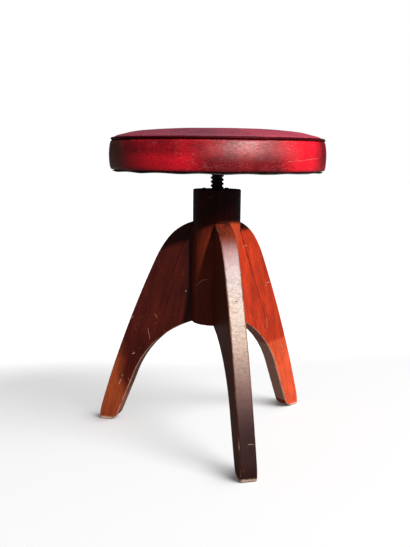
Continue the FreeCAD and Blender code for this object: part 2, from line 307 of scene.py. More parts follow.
# %% Hairline scratches: thin contour lines of one noise, kept only where another is high
hairlines, given, result = start_group("ShaderNodeTree", "hairlines", {
    "Vector": "Vector", "Scale": 25.0, "Amount": 0.5}, ["Mask"])
drift = noise(given["Vector"], given["Scale"], 1.0)
line = ramp(abs(drift - 0.5), 0.0, 0.004, 1.0, 0.0)
elsewhere = vectors("ADD", given["Vector"], (0.37, 0.11, 0.53))
broken = noise(elsewhere, given["Scale"] * 4.0, 2.0)
threshold = (1.0 - given["Amount"] * 0.5) * 0.66
feed(result, Mask=line * ramp(broken - threshold, 0.0, 0.08))

# %% One mark: how near a point is to a straight line from start to end
one_mark, given, result = start_group("ShaderNodeTree", "one_mark", {
    "Vector": "Vector", "Start": "Vector", "End": "Vector", "Width": 0.001}, ["Mask"])
run = vectors("SUBTRACT", given["End"], given["Start"])
reach = vectors("SUBTRACT", given["Vector"], given["Start"])
share = clamped(vectors("DOT_PRODUCT", reach, run) / vectors("DOT_PRODUCT", run, run))
gap = vectors("LENGTH", vectors("SUBTRACT", reach, scaled(run, share)))
feed(result, Mask=ramp(gap / given["Width"], 0.25, 0.6, 1.0, 0.0))

# %% Pebbled skin
pebbled_skin, given, result = start_group("ShaderNodeTree", "pebbled_skin", {
    "Vector": "Vector", "Pebble scale": 700.0}, ["Height", "Cracks"])
cells = add(pebbled_skin, "ShaderNodeTexVoronoi", {
    "Vector": given["Vector"], "Scale": given["Pebble scale"], "Smoothness": 0.6,
    "Randomness": 1.0}, feature="SMOOTH_F1")
fine = noise(given["Vector"], given["Pebble scale"] * 2.3, 2.0)
feed(result, Height=fine * 0.5 - cells, Cracks=ramp(cells, 0.45, 0.75))

# %% [markdown]
# ## Stained and varnished wood
# The stool is stained mahogany red under a hand-rubbed varnish. The legs came out differently: one
# deep brown-red, one faded to orange. Each leg has its own material with its own depth of stain,
# and the post has another. The pattern is turned to lie along the leg, because a leg is sawn with
# its grain along it. A finish is put on in layers, as a polisher would: stain, then painted light
# and shade laid over it, wear and single marks, and last the polish.

# %% Start a material
def begin_material(name, **constants):
    """Make a material with these constants; return it, its shader's inputs and the place."""
    material = bpy.data.materials.new(name)
    material.use_nodes = True
    tree = material.node_tree
    shader = tree.nodes["Principled BSDF"]
    for label, number in constants.items():
        shader.inputs[label.replace("_", " ")].default_value = number
    return material, shader.inputs, add(tree, "ShaderNodeTexCoord", output="Object")


def bump(height, depth, strength=1.0):
    """A surface raised by depth metres where the height is 1."""
    return add(height.tree, "ShaderNodeBump", {
        "Height": height, "Distance": depth, "Strength": strength})


def draw_marks(place, marks):
    """Draw single marks, each a width, a start and an end in millimetres, as one mask."""
    masks = [use(one_mark, place, Width=width * MM, Start=Vector(start) * MM,
                 End=Vector(end) * MM)["Mask"] for width, start, end in marks]
    return functools.reduce(largest, masks)

# %% What the finish of wood depends on
OUTER_REACH = 180
WANDER = 10 / 3


def look_at_wood(place, turn_deg, lean_deg, seed, low_top, low_soft, slant):
    """Read a point of the wood: its place in the piece, its grain and how low it lies.

    Low is 1 under the height low_top, in millimetres, and 0 above it; low_soft is half the width
    of the change, and slant lifts the line towards the outer side of a leg, which is OUTER_REACH
    from the axis. The line wanders with the blotches by some WANDER times its softness.
    """
    local = spun(place, z=-turn_deg)
    along = spun(local, y=lean_deg)
    x, y, z = axes(local)
    blotches = cloud(local, 16.0, seed=seed + 3.0)
    level = (blotches - 0.5) * (low_soft * WANDER * MM) + z
    level = (OUTER_REACH * MM - axes(along)[0]) * slant + level
    return SimpleNamespace(
        local=local, along=along, x=x, y=y, z=z, side=abs(y), blotches=blotches, level=level,
        low=ramp_mm(level, low_top - low_soft, low_top + low_soft, 1.0, 0.0),
        grain=use(wood_fibres, along, Seed=seed))

# %% Layers of colour
def stained(wood, deep, bright, tone, low_colour):
    """Stain that follows the grain, with another colour low down, and dark pores."""
    share = (wood.grain["Figure"] - 0.5) * 1.3 + tone
    share = wood.grain["Fibre"] - 0.5 + share
    share = clamped((wood.blotches - 0.5) * 0.8 + share)
    # Below the low line the wood takes the low colour: on the post and the right and left legs this
    # is a painted shadow edge, lit below and shaded above.
    low_stain_and_light = blend(share, darker(low_colour, 0.45), low_colour)
    colour = blend(wood.low, blend(share, deep, bright), low_stain_and_light)
    return blend(wood.grain["Pores"] * 0.5, colour, darker(deep, 0.35))


def painted_highlight(wood, colour, highlight_share, half):
    """Painted highlight on a leg's outer face, a pale haze: greyer high up, redder towards the
    foot.
    """
    highlight_tint = blend(ramp_mm(wood.z, 225, 300), rgb(0.58, 0.32, 0.20), rgb(0.50, 0.37, 0.40))
    highlight_tint = blend(ramp_mm(wood.z, 80, 190), rgb(0.52, 0.19, 0.17), highlight_tint)
    share = ramp_mm(wood.z, 50, 230, 0.0, highlight_share) * ramp_mm(wood.z, 305, 336, 1.0, 0.0)
    share = share * (wood.blotches * 0.8 + 0.6)
    share = share * ramp_mm(wood.side, half - 1.0, half, 1.0, 0.0)
    return blend(share, colour, highlight_tint)


def painted_lit_patch(wood, colour, lit_patch_colour):
    """A painted patch of light on the front right of a round post."""
    share = ramp_mm(wood.x, 8, 15) * ramp_mm(wood.y, -10, 0, 1.0, 0.0)
    share = share * ramp_mm(wood.z, 280, 300) * ramp_mm(wood.z, 346, 354, 0.85, 0.0)
    return blend(share, colour, lit_patch_colour)


def stained_side(wood, colour, side_colour):
    """The flat sides of a leg below its hip, in a stain of their own."""
    side = ramp_mm(wood.side, 12.0, 12.6) * ramp_mm(wood.level, 290, 350, 0.9, 0.0)
    stain = blend(wood.grain["Figure"], darker(side_colour, 0.4), side_colour)
    return blend(side, colour, stain)

# %% Layers of wear and polish
def stored(wood, name):
    """A number stored on the points of the mesh."""
    return add(wood.local.tree, "ShaderNodeAttribute", output="Fac", attribute_name=name)


def pale_wear(wood, wear, marks):
    """Where bare wood shows: rubbed edges, hairline scratches and single marks."""
    rubbed = use(rubbed_edges, wood.local, Edge=stored(wood, "edge"), Wear=wear)["Mask"]
    hair = use(hairlines, wood.along, Scale=24.0, Amount=0.36)["Mask"]
    pale = largest(rubbed * 0.75, hair * 0.22)
    return largest(pale, draw_marks(wood.local, marks) * 0.7)


def polished_wood(wood, scuffs, coat, half, seed):
    """Gloss on the outer face, weaker where it is scuffed or crazed, and near the floor."""
    crazing = cloud(wood.along, 700.0, 3.0, (1, 0.5, 0.5), seed + 11.0)
    polish = ramp_mm(wood.side, half - 1.6, half, coat, 0.02)
    polish = polish * ramp(scuffs, 0.46, 0.66, 1.0, 0.6) * ramp(crazing, 0.42, 0.62, 1.0, 0.72)
    return polish * ramp_mm(wood.z, 60, 215, 0.05, 1.0)

# %% Mahogany
BARE_WOOD = rgb(0.62, 0.36, 0.25)
SCRAPED_RIM = rgb(0.80, 0.55, 0.44)
HOLE = rgb(0.01, 0.006, 0.005)


def mahogany(name, turn_deg, lean_deg, deep, bright, low_colour, tone, low_top, slant=0.0,
             low_soft=30.0, seed=0.0, wear=0.30, coat=0.2, coat_rough=0.33, coat_ior=1.5,
             gloss_half=100.0, highlight_share=0.0, lit_patch_colour=None, painted_shade_above=None, side_colour=None,
             arch_colour=None, holes=(), *, marks):
    """Stained wood: turn and lean lay the grain along the piece, tone is the share of bright stain.

    The polish, coat, covers the wood up to gloss_half millimetres on each side of the piece's
    middle. The sides and the sawn arch can have colours of their own; the arch's colour is
    strongest below the low line, so a painted shadow edge runs on across it. A painted highlight
    can lie on the outer face as a pale haze, a painted patch of light can be given its colour,
    and above a given height the wood can be darkened as a painted shadow.
    """
    material, shader, place = begin_material(
        name, Coat_Roughness=coat_rough, Coat_IOR=coat_ior, Specular_IOR_Level=0.12)
    wood = look_at_wood(place, turn_deg, lean_deg, seed, low_top, low_soft, slant)
    colour = stained(wood, deep, bright, tone, low_colour)
    # A painted highlight laid on the outer face as a pale haze.
    if highlight_share:
        colour = painted_highlight(wood, colour, highlight_share, gloss_half)
    # A painted patch of light, where the lamp reaches the post between shadows.
    if lit_patch_colour:
        colour = painted_lit_patch(wood, colour, lit_patch_colour)
    # Above the given height the wood is painted darker: a painted shadow of the seat.
    if painted_shade_above:
        shaded_share = ramp_mm(wood.z, painted_shade_above - 6, painted_shade_above + 6, 0.0, 0.8)
        colour = blend(shaded_share, colour, darker(deep, 0.25))
    if side_colour:
        colour = stained_side(wood, colour, side_colour)
    # The sawn arch takes its colour most below the low line, so the painted shadow edge runs on
    # across it.
    if arch_colour:
        colour = blend(stored(wood, "sawn") * (wood.low * 0.70 + 0.25), colour, arch_colour)
    pale = pale_wear(wood, wear, marks)
    colour = blend(pale, colour, BARE_WOOD)
    scraped = ramp_mm(wood.grain["Fibre"] * (6 * MM) + wood.z, 5, 9, 0.9, 0.0)
    colour = blend(scraped, colour, SCRAPED_RIM)
    scuffs = cloud(wood.local, 260.0, 4.0, (1, 0.35, 1), seed + 7.0)
    polish = polished_wood(wood, scuffs, coat, gloss_half, seed)
    if holes:
        dents = draw_marks(wood.local, holes)
        colour = blend(dents, colour, HOLE)
        polish = polish * (1.0 - dents)
    relief = scuffs * 0.8 + (wood.grain["Height"] - pale * 0.8)
    normal = bump(relief, 0.05 * MM, 0.55)
    feed(shader, Base_Color=colour, Roughness=wood.blotches * 0.22 + 0.36, Coat_Weight=polish,
         Normal=normal, Coat_Normal=normal)
    return material

# %% [markdown]
# ## The finish of each leg and of the post
# The front leg's outer face carries a painted highlight, a pale haze for its broad soft shine. The
# right leg is painted bright below a slanting line, a painted shadow edge of the seat, and painted
# dark at its top, a painted shadow of the seat. The left leg is dark, with a foot painted lighter
# where the seat's shadow ends. The post is painted nearly black where the seat shades it, with a
# painted patch of light on its front right. Scratches and dents are drawn one by one where they are
# seen. Everywhere else wear follows the edges.

# %% Finishes of the legs
LEG_TURNS = {"leg_front": -90.0, "leg_right": 30.0, "leg_left": 150.0}
LEG_LEAN = 15.0
# Marks are drawn just outside the flat side of the board, this far from its middle.
FLAT_SIDE = 12.8


def scratches(side, lines):
    """Marks on a flat side of a leg: width, then reach and height of the start and of the end."""
    return [(width, (x0, side, z0), (x1, side, z1)) for width, x0, z0, x1, z1 in lines]


leg_finishes = {
    # The front leg: a painted highlight on its outer face, a pale haze greyer high up.
    "leg_front": mahogany(
        "mahogany_front", LEG_TURNS["leg_front"], LEG_LEAN,
        rgb(0.09, 0.014, 0.007), rgb(0.46, 0.062, 0.018),
        rgb(0.034, 0.009, 0.009), 0.32, 288, seed=0.0, wear=0.12, coat=0.8, gloss_half=12.4,
        side_colour=rgb(0.25, 0.048, 0.013), highlight_share=0.50, coat_rough=0.39, coat_ior=1.62,
        marks=[(1.8, (35.5, -12, 350.6), (35.5, 12, 350.6)),
               (0.7, (121.5, -7, 238.5), (121.7, 6, 237.6)), (0.7, (188, -8, 66), (188.4, 9, 64.8)),
               (0.8, (194, -9, 47.5), (194.2, 4, 46.8)), (0.6, (192, 2, 52), (192, 9, 51))],
        holes=[(2.6, (119.9, 1, 243.5), (119.9, 1, 243.6))]),
    # The right leg: painted light below a sharp slanting line, a painted shadow edge of the seat
    # that runs on across the pale sawn arch, and a painted shadow of the seat on its top.
    "leg_right": mahogany(
        "mahogany_right", LEG_TURNS["leg_right"], LEG_LEAN,
        rgb(0.20, 0.016, 0.007), rgb(0.74, 0.058, 0.016),
        rgb(0.92, 0.12, 0.045), 0.55, 133, slant=0.06, seed=5.0, wear=0.5, low_soft=4.0,
        arch_colour=rgb(0.96, 0.50, 0.37), painted_shade_above=335,
        marks=scratches(-FLAT_SIDE, [
            (1.2, 108, 239.8, 121, 239.2), (0.9, 107, 236.5, 109, 233.5),
            (1.4, 49, 306.5, 58.4, 308.5), (1.1, 152, 124, 156, 116),
            (1.3, 161, 112, 158, 108), (1.0, 112, 176, 114, 160)])),
    # The left leg: lighter below a slanting line towards its foot, painted light where the seat's
    # shadow ends.
    "leg_left": mahogany(
        "mahogany_left", LEG_TURNS["leg_left"], LEG_LEAN,
        rgb(0.028, 0.005, 0.004), rgb(0.145, 0.015, 0.009),
        rgb(0.62, 0.112, 0.036), 0.45, 88, slant=2.4, seed=9.0, wear=0.42,
        arch_colour=rgb(0.40, 0.16, 0.12),
        marks=scratches(FLAT_SIDE, [
            (1.6, 152.8, 175.6, 140.0, 186), (0.9, 100.7, 194, 97.1, 187),
            (2.0, 138, 123, 141.5, 121.5), (2.0, 166.7, 66, 163, 74),
            (1.2, 161.5, 80, 159, 84), (2.4, 46.8, 235.7, 47.4, 235),
            (0.8, 113.2, 168, 110, 150), (0.7, 149.9, 78, 147, 72)])),
}
print("leg finishes:", ", ".join(finish.name for finish in leg_finishes.values()))

# %% Finish of the post
# The post: painted nearly black above the low line, the seat's shade, with a painted patch of light
# on its front right.
post_finish = mahogany(
    "mahogany_post", 0.0, 0.0, rgb(0.015, 0.002, 0.002), rgb(0.09, 0.010, 0.006),
    rgb(0.38, 0.046, 0.017), 0.30, 345, seed=14.0, coat=0.05, lit_patch_colour=rgb(0.70, 0.085, 0.026),
    marks=[(1.3, (-35.9, -12.8, 248.2), (-32.6, -19.7, 254.2)),
           (1.6, (-32.6, -19.7, 254.2), (-27.7, -26.2, 260.0)),
           (1.5, (-27.7, -26.2, 260.0), (-22.3, -30.9, 261.4)),
           (1.2, (-12.2, -36.1, 259.6), (-7.6, -37.3, 254.9)),
           (1.4, (-7.6, -37.3, 254.9), (-4.4, -37.8, 250.1))])
print("post finish:", post_finish.name)

# %% [markdown]
# ## Red leather
# The seat is covered in dyed hide. A pebble pattern gives the skin, and a squeezed noise the fine
# level streaks where the dye has worn off. The red is painted brighter and darker in patches, as
# painted light and shade, and dirt gathers in the seams. Knees and hands have polished one patch in
# front, so a second gloss lies there, broken by creases. The patches face set directions round the
# seat, which a dot product measures.

# %% Patches of painted light and shade, and polished patches of leather
SEAT_RADIUS = 169 * MM
# Patches of painted light and shade round the seat. Each patch: direction in degrees right of the
# front leg, where it starts and is full as a cosine, heights in millimetres between which it fades
# out upwards, and how much brighter it is.
SIDE_PAINTED_LIGHT = [(60, 0.68, 0.88, 600, 700, 0.72), (102, 0.44, 0.68, 600, 700, -0.85),
               (-47, 0.84, 0.98, 448, 462, 0.50), (-90, 0.75, 0.95, 600, 700, -0.15),
               (-2, 0.86, 0.97, 446, 460, -0.30)]
CROWN_PAINTED_LIGHT = [(60, 0.10, 0.80, 600, 700, 0.50), (-100, 0.50, 0.90, 600, 700, 0.25)]


def facing(place, direction):
    """How squarely a point of the seat faces a direction, as a cosine."""
    a = math.radians(direction)
    return vectors("DOT_PRODUCT", place, (
        math.sin(a) / SEAT_RADIUS, -math.cos(a) / SEAT_RADIUS, 0))


def painted_light_patches(place, level, tone, light_and_shade):
    """Paint light and shade into the tone: brighter or darker in each patch."""
    for direction, start, full, low, high, gain in light_and_shade:
        patch = ramp(facing(place, direction), start, full) * ramp_mm(level, low, high, 1.0, 0.0)
        tone = patch * gain + tone
    return clamped(tone)


def polish_leather(place, shine, level, streaks, creases):
    """The patch in the direction shine that use has polished, weaker along the lower edge."""
    polished = ramp(facing(place, shine), 0.85, 0.98, 0.02, 1.0)
    polished = polished * ramp_mm(level, 442, 459, 0.04, 1.0)
    polished = polished * ramp_mm(level, 461, 474, 1.0, 0.35)
    polished = polished * ramp(streaks, 0.35, 0.62, 0.55, 1.0)
    return polished * ramp(creases, 0.2, 1.0, 1.0, 0.6)

# %% A finish for any piece of the hide
SEAM_DIRT = rgb(0.05, 0.004, 0.005)
PAINTED_REFLECTION_BROWN = rgb(0.17, 0.040, 0.012)


def red_leather(name, deep, bright, rubbed, streak_share, gloss, seam_low, seam_high, seed,
                marks=(), light_and_shade=(), shine=None, rough_low=0.28):
    """Dyed hide; seam_low and seam_high are the heights in millimetres near which dirt gathers.

    The dye is worn off in streaks and hairlines, and the surface is pebbled and creased. Patches of
    painted light and shade make the red brighter or darker. A piece with a shine is also polished
    there, and painted brown at its far left as a painted dark reflection.
    """
    material, shader, place = begin_material(
        name, Specular_IOR_Level=gloss, Coat_Roughness=0.47, Coat_IOR=1.9)
    level = axes(place)[2]
    skin = use(pebbled_skin, place)
    mottle = cloud(place, 26.0, seed=seed)
    specks = cloud(place, 190.0, seed=seed + 1.0)
    streaks = cloud(place, 130.0, stretch=(1, 1, 7), seed=seed + 2.0)
    tone = (mottle - 0.5) * 0.9 + 0.20
    # Painted light and shade: patches facing set directions are made brighter or darker.
    tone = painted_light_patches(place, level, (specks - 0.5) * 0.35 + tone, light_and_shade)
    colour = blend(tone, deep, bright)
    # At its far left the side is painted brown, a painted reflection of dark surroundings.
    if shine is not None:
        colour = blend(ramp(facing(place, -90), 0.90, 1.0, 0.0, 0.9), colour, PAINTED_REFLECTION_BROWN)

    rub = ramp(streaks, 0.58, 0.74) * ramp(mottle, 0.42, 0.6) * streak_share
    flattened = vectors("MULTIPLY", place, (1, 1, 3.0))
    hair = use(hairlines, flattened, Scale=14.0, Amount=0.4)["Mask"]
    if marks:
        hair = largest(hair, draw_marks(place, marks) * 1.6)
    colour = blend(largest(rub, hair * 0.25), colour, rubbed)
    dirt = largest(ramp_mm(level, seam_low, seam_low + 4, 1.0, 0.0),
                   ramp_mm(level, seam_high - 4, seam_high))
    colour = blend(dirt * (mottle * 0.9 + 0.1), colour, SEAM_DIRT)
    colour = blend(skin["Cracks"] * 0.35, colour, darker(deep, 0.4))

    wrinkle = noise(vectors("MULTIPLY", place, (1, 1, 1.6)), 75.0, 4.0, 1.4)
    creases = ramp(abs(wrinkle - 0.5), 0.0, 0.035, 1.0, 0.0)
    if shine is not None:
        feed(shader, Coat_Weight=polish_leather(place, shine, level, streaks, creases))
    relief = streaks * 0.8 + skin["Height"] - creases * 1.2 - hair
    feed(shader, Base_Color=colour, Roughness=specks * 0.25 + rough_low,
         Normal=bump(relief, 0.22 * MM, 0.7))
    return material

# %% Finishes of side, crown and cord
BAND_MARKS = [
    (1.2, (82.2, -147.9, 447.8), (93.9, -140.8, 449.3)),
    (1.4, (93.9, -140.8, 449.3), (106.7, -131.3, 450.7)),
    (1.2, (106.7, -131.3, 450.7), (121.3, -118.0, 451.4)),
    (1.0, (60.0, -158.6, 446.5), (84.0, -147.2, 449.0))]
band_finish = red_leather(
    "leather_side", rgb(0.18, 0.002, 0.006), rgb(0.95, 0.009, 0.028), rgb(0.66, 0.24, 0.24),
    0.24, 0.30, 431.5, 478, 1.0, BAND_MARKS, SIDE_PAINTED_LIGHT, shine=4.0)
top_finish = red_leather(
    "leather_crown", rgb(0.115, 0.020, 0.038), rgb(0.44, 0.040, 0.072), rgb(0.42, 0.17, 0.20),
    0.25, 0.40, 475.0, 600, 4.0, light_and_shade=CROWN_PAINTED_LIGHT, rough_low=0.44)
piping_finish = red_leather(
    "leather_cord", rgb(0.040, 0.001, 0.003), rgb(0.15, 0.003, 0.008), rgb(0.24, 0.03, 0.04),
    0.2, 0.05, 470.0, 600, 7.0)
print("leathers:", band_finish.name, top_finish.name, piping_finish.name)

# %% [markdown]
# ## Iron, steel, lining, stuffing and board
# The screw and its ironwork are blackened and greasy, with bare steel only on the crest of the
# thread, where it runs in the nut. The lining is a plain grey weave. The board under the stuffing
# is unfinished softwood. They are small or hidden, but someone who turns the stool over sees them.

# %% Metal
def dark_metal(name, base, bare, rust, rough_low, seed, crest=None):
    """Blackened metal; crest is the pair of radii between which a thread wears bright."""
    material, shader, place = begin_material(name, Metallic=0.75, IOR=2.0)
    coarse = cloud(place, 260.0, 4.0, seed=seed)
    fine = cloud(place, 1500.0, 2.0, seed=seed + 1.0)
    worn = ramp(fine, 0.58, 0.75)
    if crest:
        radius = vectors("LENGTH", vectors("MULTIPLY", place, (1, 1, 0)))
        worn = ramp_mm(radius, *crest) * clamped(coarse * 1.2 - 0.2)
    colour = blend(worn * 0.5, base, bare)
    feed(shader, Base_Color=blend(ramp(coarse, 0.6, 0.72), colour, rust),
         Roughness=coarse * 0.3 + rough_low, Normal=bump(coarse + fine, 0.12 * MM, 0.5))
    return material


iron_finish = dark_metal("blackened_iron", rgb(0.022, 0.020, 0.019), rgb(0.16, 0.15, 0.14),
                         rgb(0.040, 0.018, 0.010), 0.42, 2.0)
screw_finish = dark_metal("greased_screw", rgb(0.006, 0.006, 0.006), rgb(0.07, 0.07, 0.066),
                          rgb(0.010, 0.008, 0.006), 0.34, 6.0, crest=(9.9, 10.6))
fastener_finish = dark_metal("dull_fastener", rgb(0.10, 0.085, 0.065), rgb(0.35, 0.31, 0.26),
                             rgb(0.06, 0.03, 0.018), 0.36, 8.0)
print("metals:", iron_finish.name, screw_finish.name, fastener_finish.name)

# %% Cloth, hair and board
def woven_lining():
    """Grey calico: two sets of threads that cross, with faint soiling."""
    material, shader, place = begin_material("grey_lining", Sheen_Weight=0.2)
    weave = largest(*(add(place.tree, "ShaderNodeTexWave", {
        "Vector": place, "Scale": 420.0, "Distortion": 0.6, "Detail": 1.0,
    }, 1, bands_direction=direction) for direction in ("X", "Y")))
    soil = cloud(place, 30.0, 4.0, seed=3.0)
    colour = blend(weave, rgb(0.040, 0.034, 0.033), rgb(0.13, 0.110, 0.105))
    colour = blend(ramp(soil, 0.45, 0.75), colour, rgb(0.075, 0.055, 0.045))
    feed(shader, Base_Color=colour, Roughness=soil * 0.1 + 0.85, Normal=bump(weave, 0.15 * MM))
    return material


def curled_stuffing():
    """Curled hair under the leather: dark strands in every direction."""
    material, shader, place = begin_material("curled_hair")
    strands = noise(place, 300.0, 4.0, 3.0)
    colour = blend(strands, rgb(0.03, 0.022, 0.016), rgb(0.22, 0.17, 0.12))
    feed(shader, Base_Color=colour, Roughness=strands * 0.1 + 0.85,
         Normal=bump(strands, 0.8 * MM))
    return material


def softwood():
    """Bare board with broad growth rings."""
    material, shader, place = begin_material("softwood_board", Specular_IOR_Level=0.3)
    grain = use(wood_fibres, spun(place, x=90), Seed=21.0, Fibre_scale=450.0, Figure_scale=60.0)
    colour = blend(grain["Figure"] * 0.7 + grain["Fibre"] * 0.3,
                   rgb(0.16, 0.09, 0.04), rgb(0.50, 0.34, 0.18))
    feed(shader, Base_Color=colour, Roughness=grain["Fibre"] * 0.2 + 0.6,
         Normal=bump(grain["Height"], 0.1 * MM))
    return material


lining_finish, stuffing_finish, board_finish = woven_lining(), curled_stuffing(), softwood()
print("materials:", len(bpy.data.materials))

# %% [markdown]
# ## Making and mounting pieces
# A finished piece is a plain mesh at the origin. It rides on a body, so that it turns and rises
# with it, and the CAD node it stands for is hidden. Most pieces here are round, so one helper
# closes a grid of points round the upright axis, with a pole wherever a row shrinks to a point.

# %% Mount a piece
def evaluated(item):
    """The mesh that an object's modifiers make."""
    graph = bpy.context.evaluated_depsgraph_get()
    return bpy.data.meshes.new_from_object(item.evaluated_get(graph))


def mount(name, mesh, body, finish, replaced, smooth=True):
    """Make the piece, give it its finish, and let it ride on its body in place of a CAD node."""
    piece = link(name, mesh)
    if smooth:
        for face in mesh.polygons:
            face.use_smooth = True
    mesh.materials.clear()
    mesh.materials.append(finish)
    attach(piece, body)
    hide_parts(replaced)
    print("piece:", name, len(mesh.polygons), "faces on", body)
    return piece

# %% Meshes from rows of points
def row_faces(count, columns, loop):
    """Faces between rows that each close on themselves; the rows close too if loop is true."""
    return [(i * columns + j, i * columns + (j + 1) % columns,
             (i + 1) % count * columns + (j + 1) % columns, (i + 1) % count * columns + j)
            for i in range(count if loop else count - 1) for j in range(columns)]


def grid_mesh(name, rows, loop):
    """Skin rows of points."""
    mesh = bpy.data.meshes.new(name)
    mesh.from_pydata([tuple(p) for row in rows for p in row], [],
                     row_faces(len(rows), len(rows[0]), loop))
    return tidy(mesh)


def tidy(mesh, gap=0.01 * MM):
    """Merge points that fall together, close the ends, and turn every face outwards."""
    work = bmesh.new()
    work.from_mesh(mesh)
    bmesh.ops.remove_doubles(work, verts=work.verts, dist=gap)
    bmesh.ops.holes_fill(work, edges=[e for e in work.edges if e.is_boundary], sides=0)
    bmesh.ops.recalc_face_normals(work, faces=work.faces)
    work.to_mesh(mesh)
    work.free()
    return mesh


def ring_point(radius, angle, level):
    """A point from radius and height in millimetres and an angle."""
    return (radius * MM * math.cos(angle), radius * MM * math.sin(angle), level * MM)


def turned(name, profile, sides):
    """Turn a profile of (radius, height) pairs in millimetres round the upright axis."""
    return grid_mesh(name, [[ring_point(radius, TURN * j / sides, level) for j in range(sides)]
                            for radius, level in profile], False)


def joined(name, meshes):
    """Put several meshes into one."""
    work = bmesh.new()
    for mesh in meshes:
        work.from_mesh(mesh)
    result = bpy.data.meshes.new(name)
    work.to_mesh(result)
    work.free()
    return result

# %% [markdown]
# ## The legs
# Each leg is sawn from board 25.5 mm thick: arched inside, bowed outside, with a worn foot. The
# maker drew the outline on the board, sawed it and eased the arrises. Here the outline is drawn
# once from its corners and arcs, then repeated across the thickness; near each face it is drawn a
# little smaller, which rounds the arris. A number called edge is stored on the points of the
# rounding, so that the finish knows where hands and shoes have rubbed.

# %% Outline of a leg
LEG_CORNERS = [
    (34.0, 187.0), (143.0, 78.0), (170.2, 12.3), (188.7, 0.0), (201.7, 0.0), (203.9, 2.2),
    (200.4, 24.0), (99.6, 287.6), (80.0, 319.9), (34.0, 350.7)]
LEG_ARCS = {0: -176.0, 2: 20.0, 5: 90.0, 6: 1825.0, 7: 181.4, 8: 85.6}
ARCH_SIDES = (0, 1)
STEP = 2.5


def arc_points(start, end, radius, step):
    """Points from start up to end; a positive radius bulges to the right, None is straight."""
    start, end = np.array(start), np.array(end)
    run = end - start
    length = math.hypot(*run)
    pieces = max(1, round(length / step))
    if radius is None:
        return [start + run * i / pieces for i in range(pieces)]
    right = np.array([run[1], -run[0]]) / length
    sagitta = abs(radius) - math.sqrt(radius ** 2 - (length / 2) ** 2)
    centre = (start + end) / 2 - right * math.copysign(abs(radius) - sagitta, radius)
    first = math.atan2(*(start - centre)[::-1])
    sweep = (math.atan2(*(end - centre)[::-1]) - first + math.pi) % TURN - math.pi
    return [centre + abs(radius) * np.array([math.cos(first + sweep * i / pieces),
                                             math.sin(first + sweep * i / pieces)])
            for i in range(pieces)]


def leg_outline():
    """The side view of a leg as (reach, height) points in millimetres, and their sides' numbers."""
    points, sides = [], []
    for i, corner in enumerate(LEG_CORNERS):
        following = LEG_CORNERS[(i + 1) % len(LEG_CORNERS)]
        run = arc_points(corner, following, LEG_ARCS.get(i), STEP)
        points += run
        sides += [i] * len(run)
    return np.array(points), np.array(sides)


def inset(points, depth):
    """Draw the outline again, inside by depth."""
    before, after = np.roll(points, 1, 0), np.roll(points, -1, 0)
    first = (points - before) / np.linalg.norm(points - before, axis=1)[:, None]
    second = (after - points) / np.linalg.norm(after - points, axis=1)[:, None]
    inward = np.stack([-(first + second)[:, 1], (first + second)[:, 0]], 1)
    inward /= np.linalg.norm(inward, axis=1)[:, None]
    normal = np.stack([-second[:, 1], second[:, 0]], 1)
    return points + inward * (depth / np.sum(inward * normal, 1))[:, None]


outline, outline_sides = leg_outline()
print("leg outline:", len(outline), "points")

# %% Rings and dovetail of a leg
LEG_THICKNESS = 25.5
ARRIS = 1.7
EASED_BESIDE = 1.3
HALF_WORN = 0.35
DOVETAIL = {"neck": 5.5, "tail": 8.0, "length": 11.0, "seat": 34.0, "low": 187.0, "high": 336.7}
DOVETAIL_FACES = 6


def leg_rings():
    """Where each ring lies across the thickness, how far it is drawn in, and how worn it is."""
    half = LEG_THICKNESS / 2
    rings = [(half, ARRIS + EASED_BESIDE, 0.0), (half, ARRIS, HALF_WORN)]
    for i in range(1, 4):
        angle = math.radians(90 * i / 4)
        rings.append((half - ARRIS * (1 - math.cos(angle)), ARRIS * (1 - math.sin(angle)), 1.0))
    rings += [(half - ARRIS, 0.0, HALF_WORN), (half - ARRIS - EASED_BESIDE, 0.0, 0.0),
              (3.5, 0.0, 0.0)]
    return rings + [(-across_by, depth, edge) for across_by, depth, edge in reversed(rings)]


def dovetail(base):
    """Points and faces of the tail that holds the leg in the post, numbered from base."""
    d = DOVETAIL
    inner, outer = d["seat"] - d["length"], d["seat"] + 0.5
    points = [(reach_to * MM, side * MM, level * MM) for level in (d["low"], d["high"])
              for reach_to, side in ((outer, d["neck"]), (outer, -d["neck"]),
                                     (inner, -d["tail"]), (inner, d["tail"]))]
    faces = [(base, base + 1, base + 2, base + 3), (base + 7, base + 6, base + 5, base + 4)]
    faces += [(base + j, base + (j + 1) % 4, base + 4 + (j + 1) % 4, base + 4 + j)
              for j in range(4)]
    return points, faces

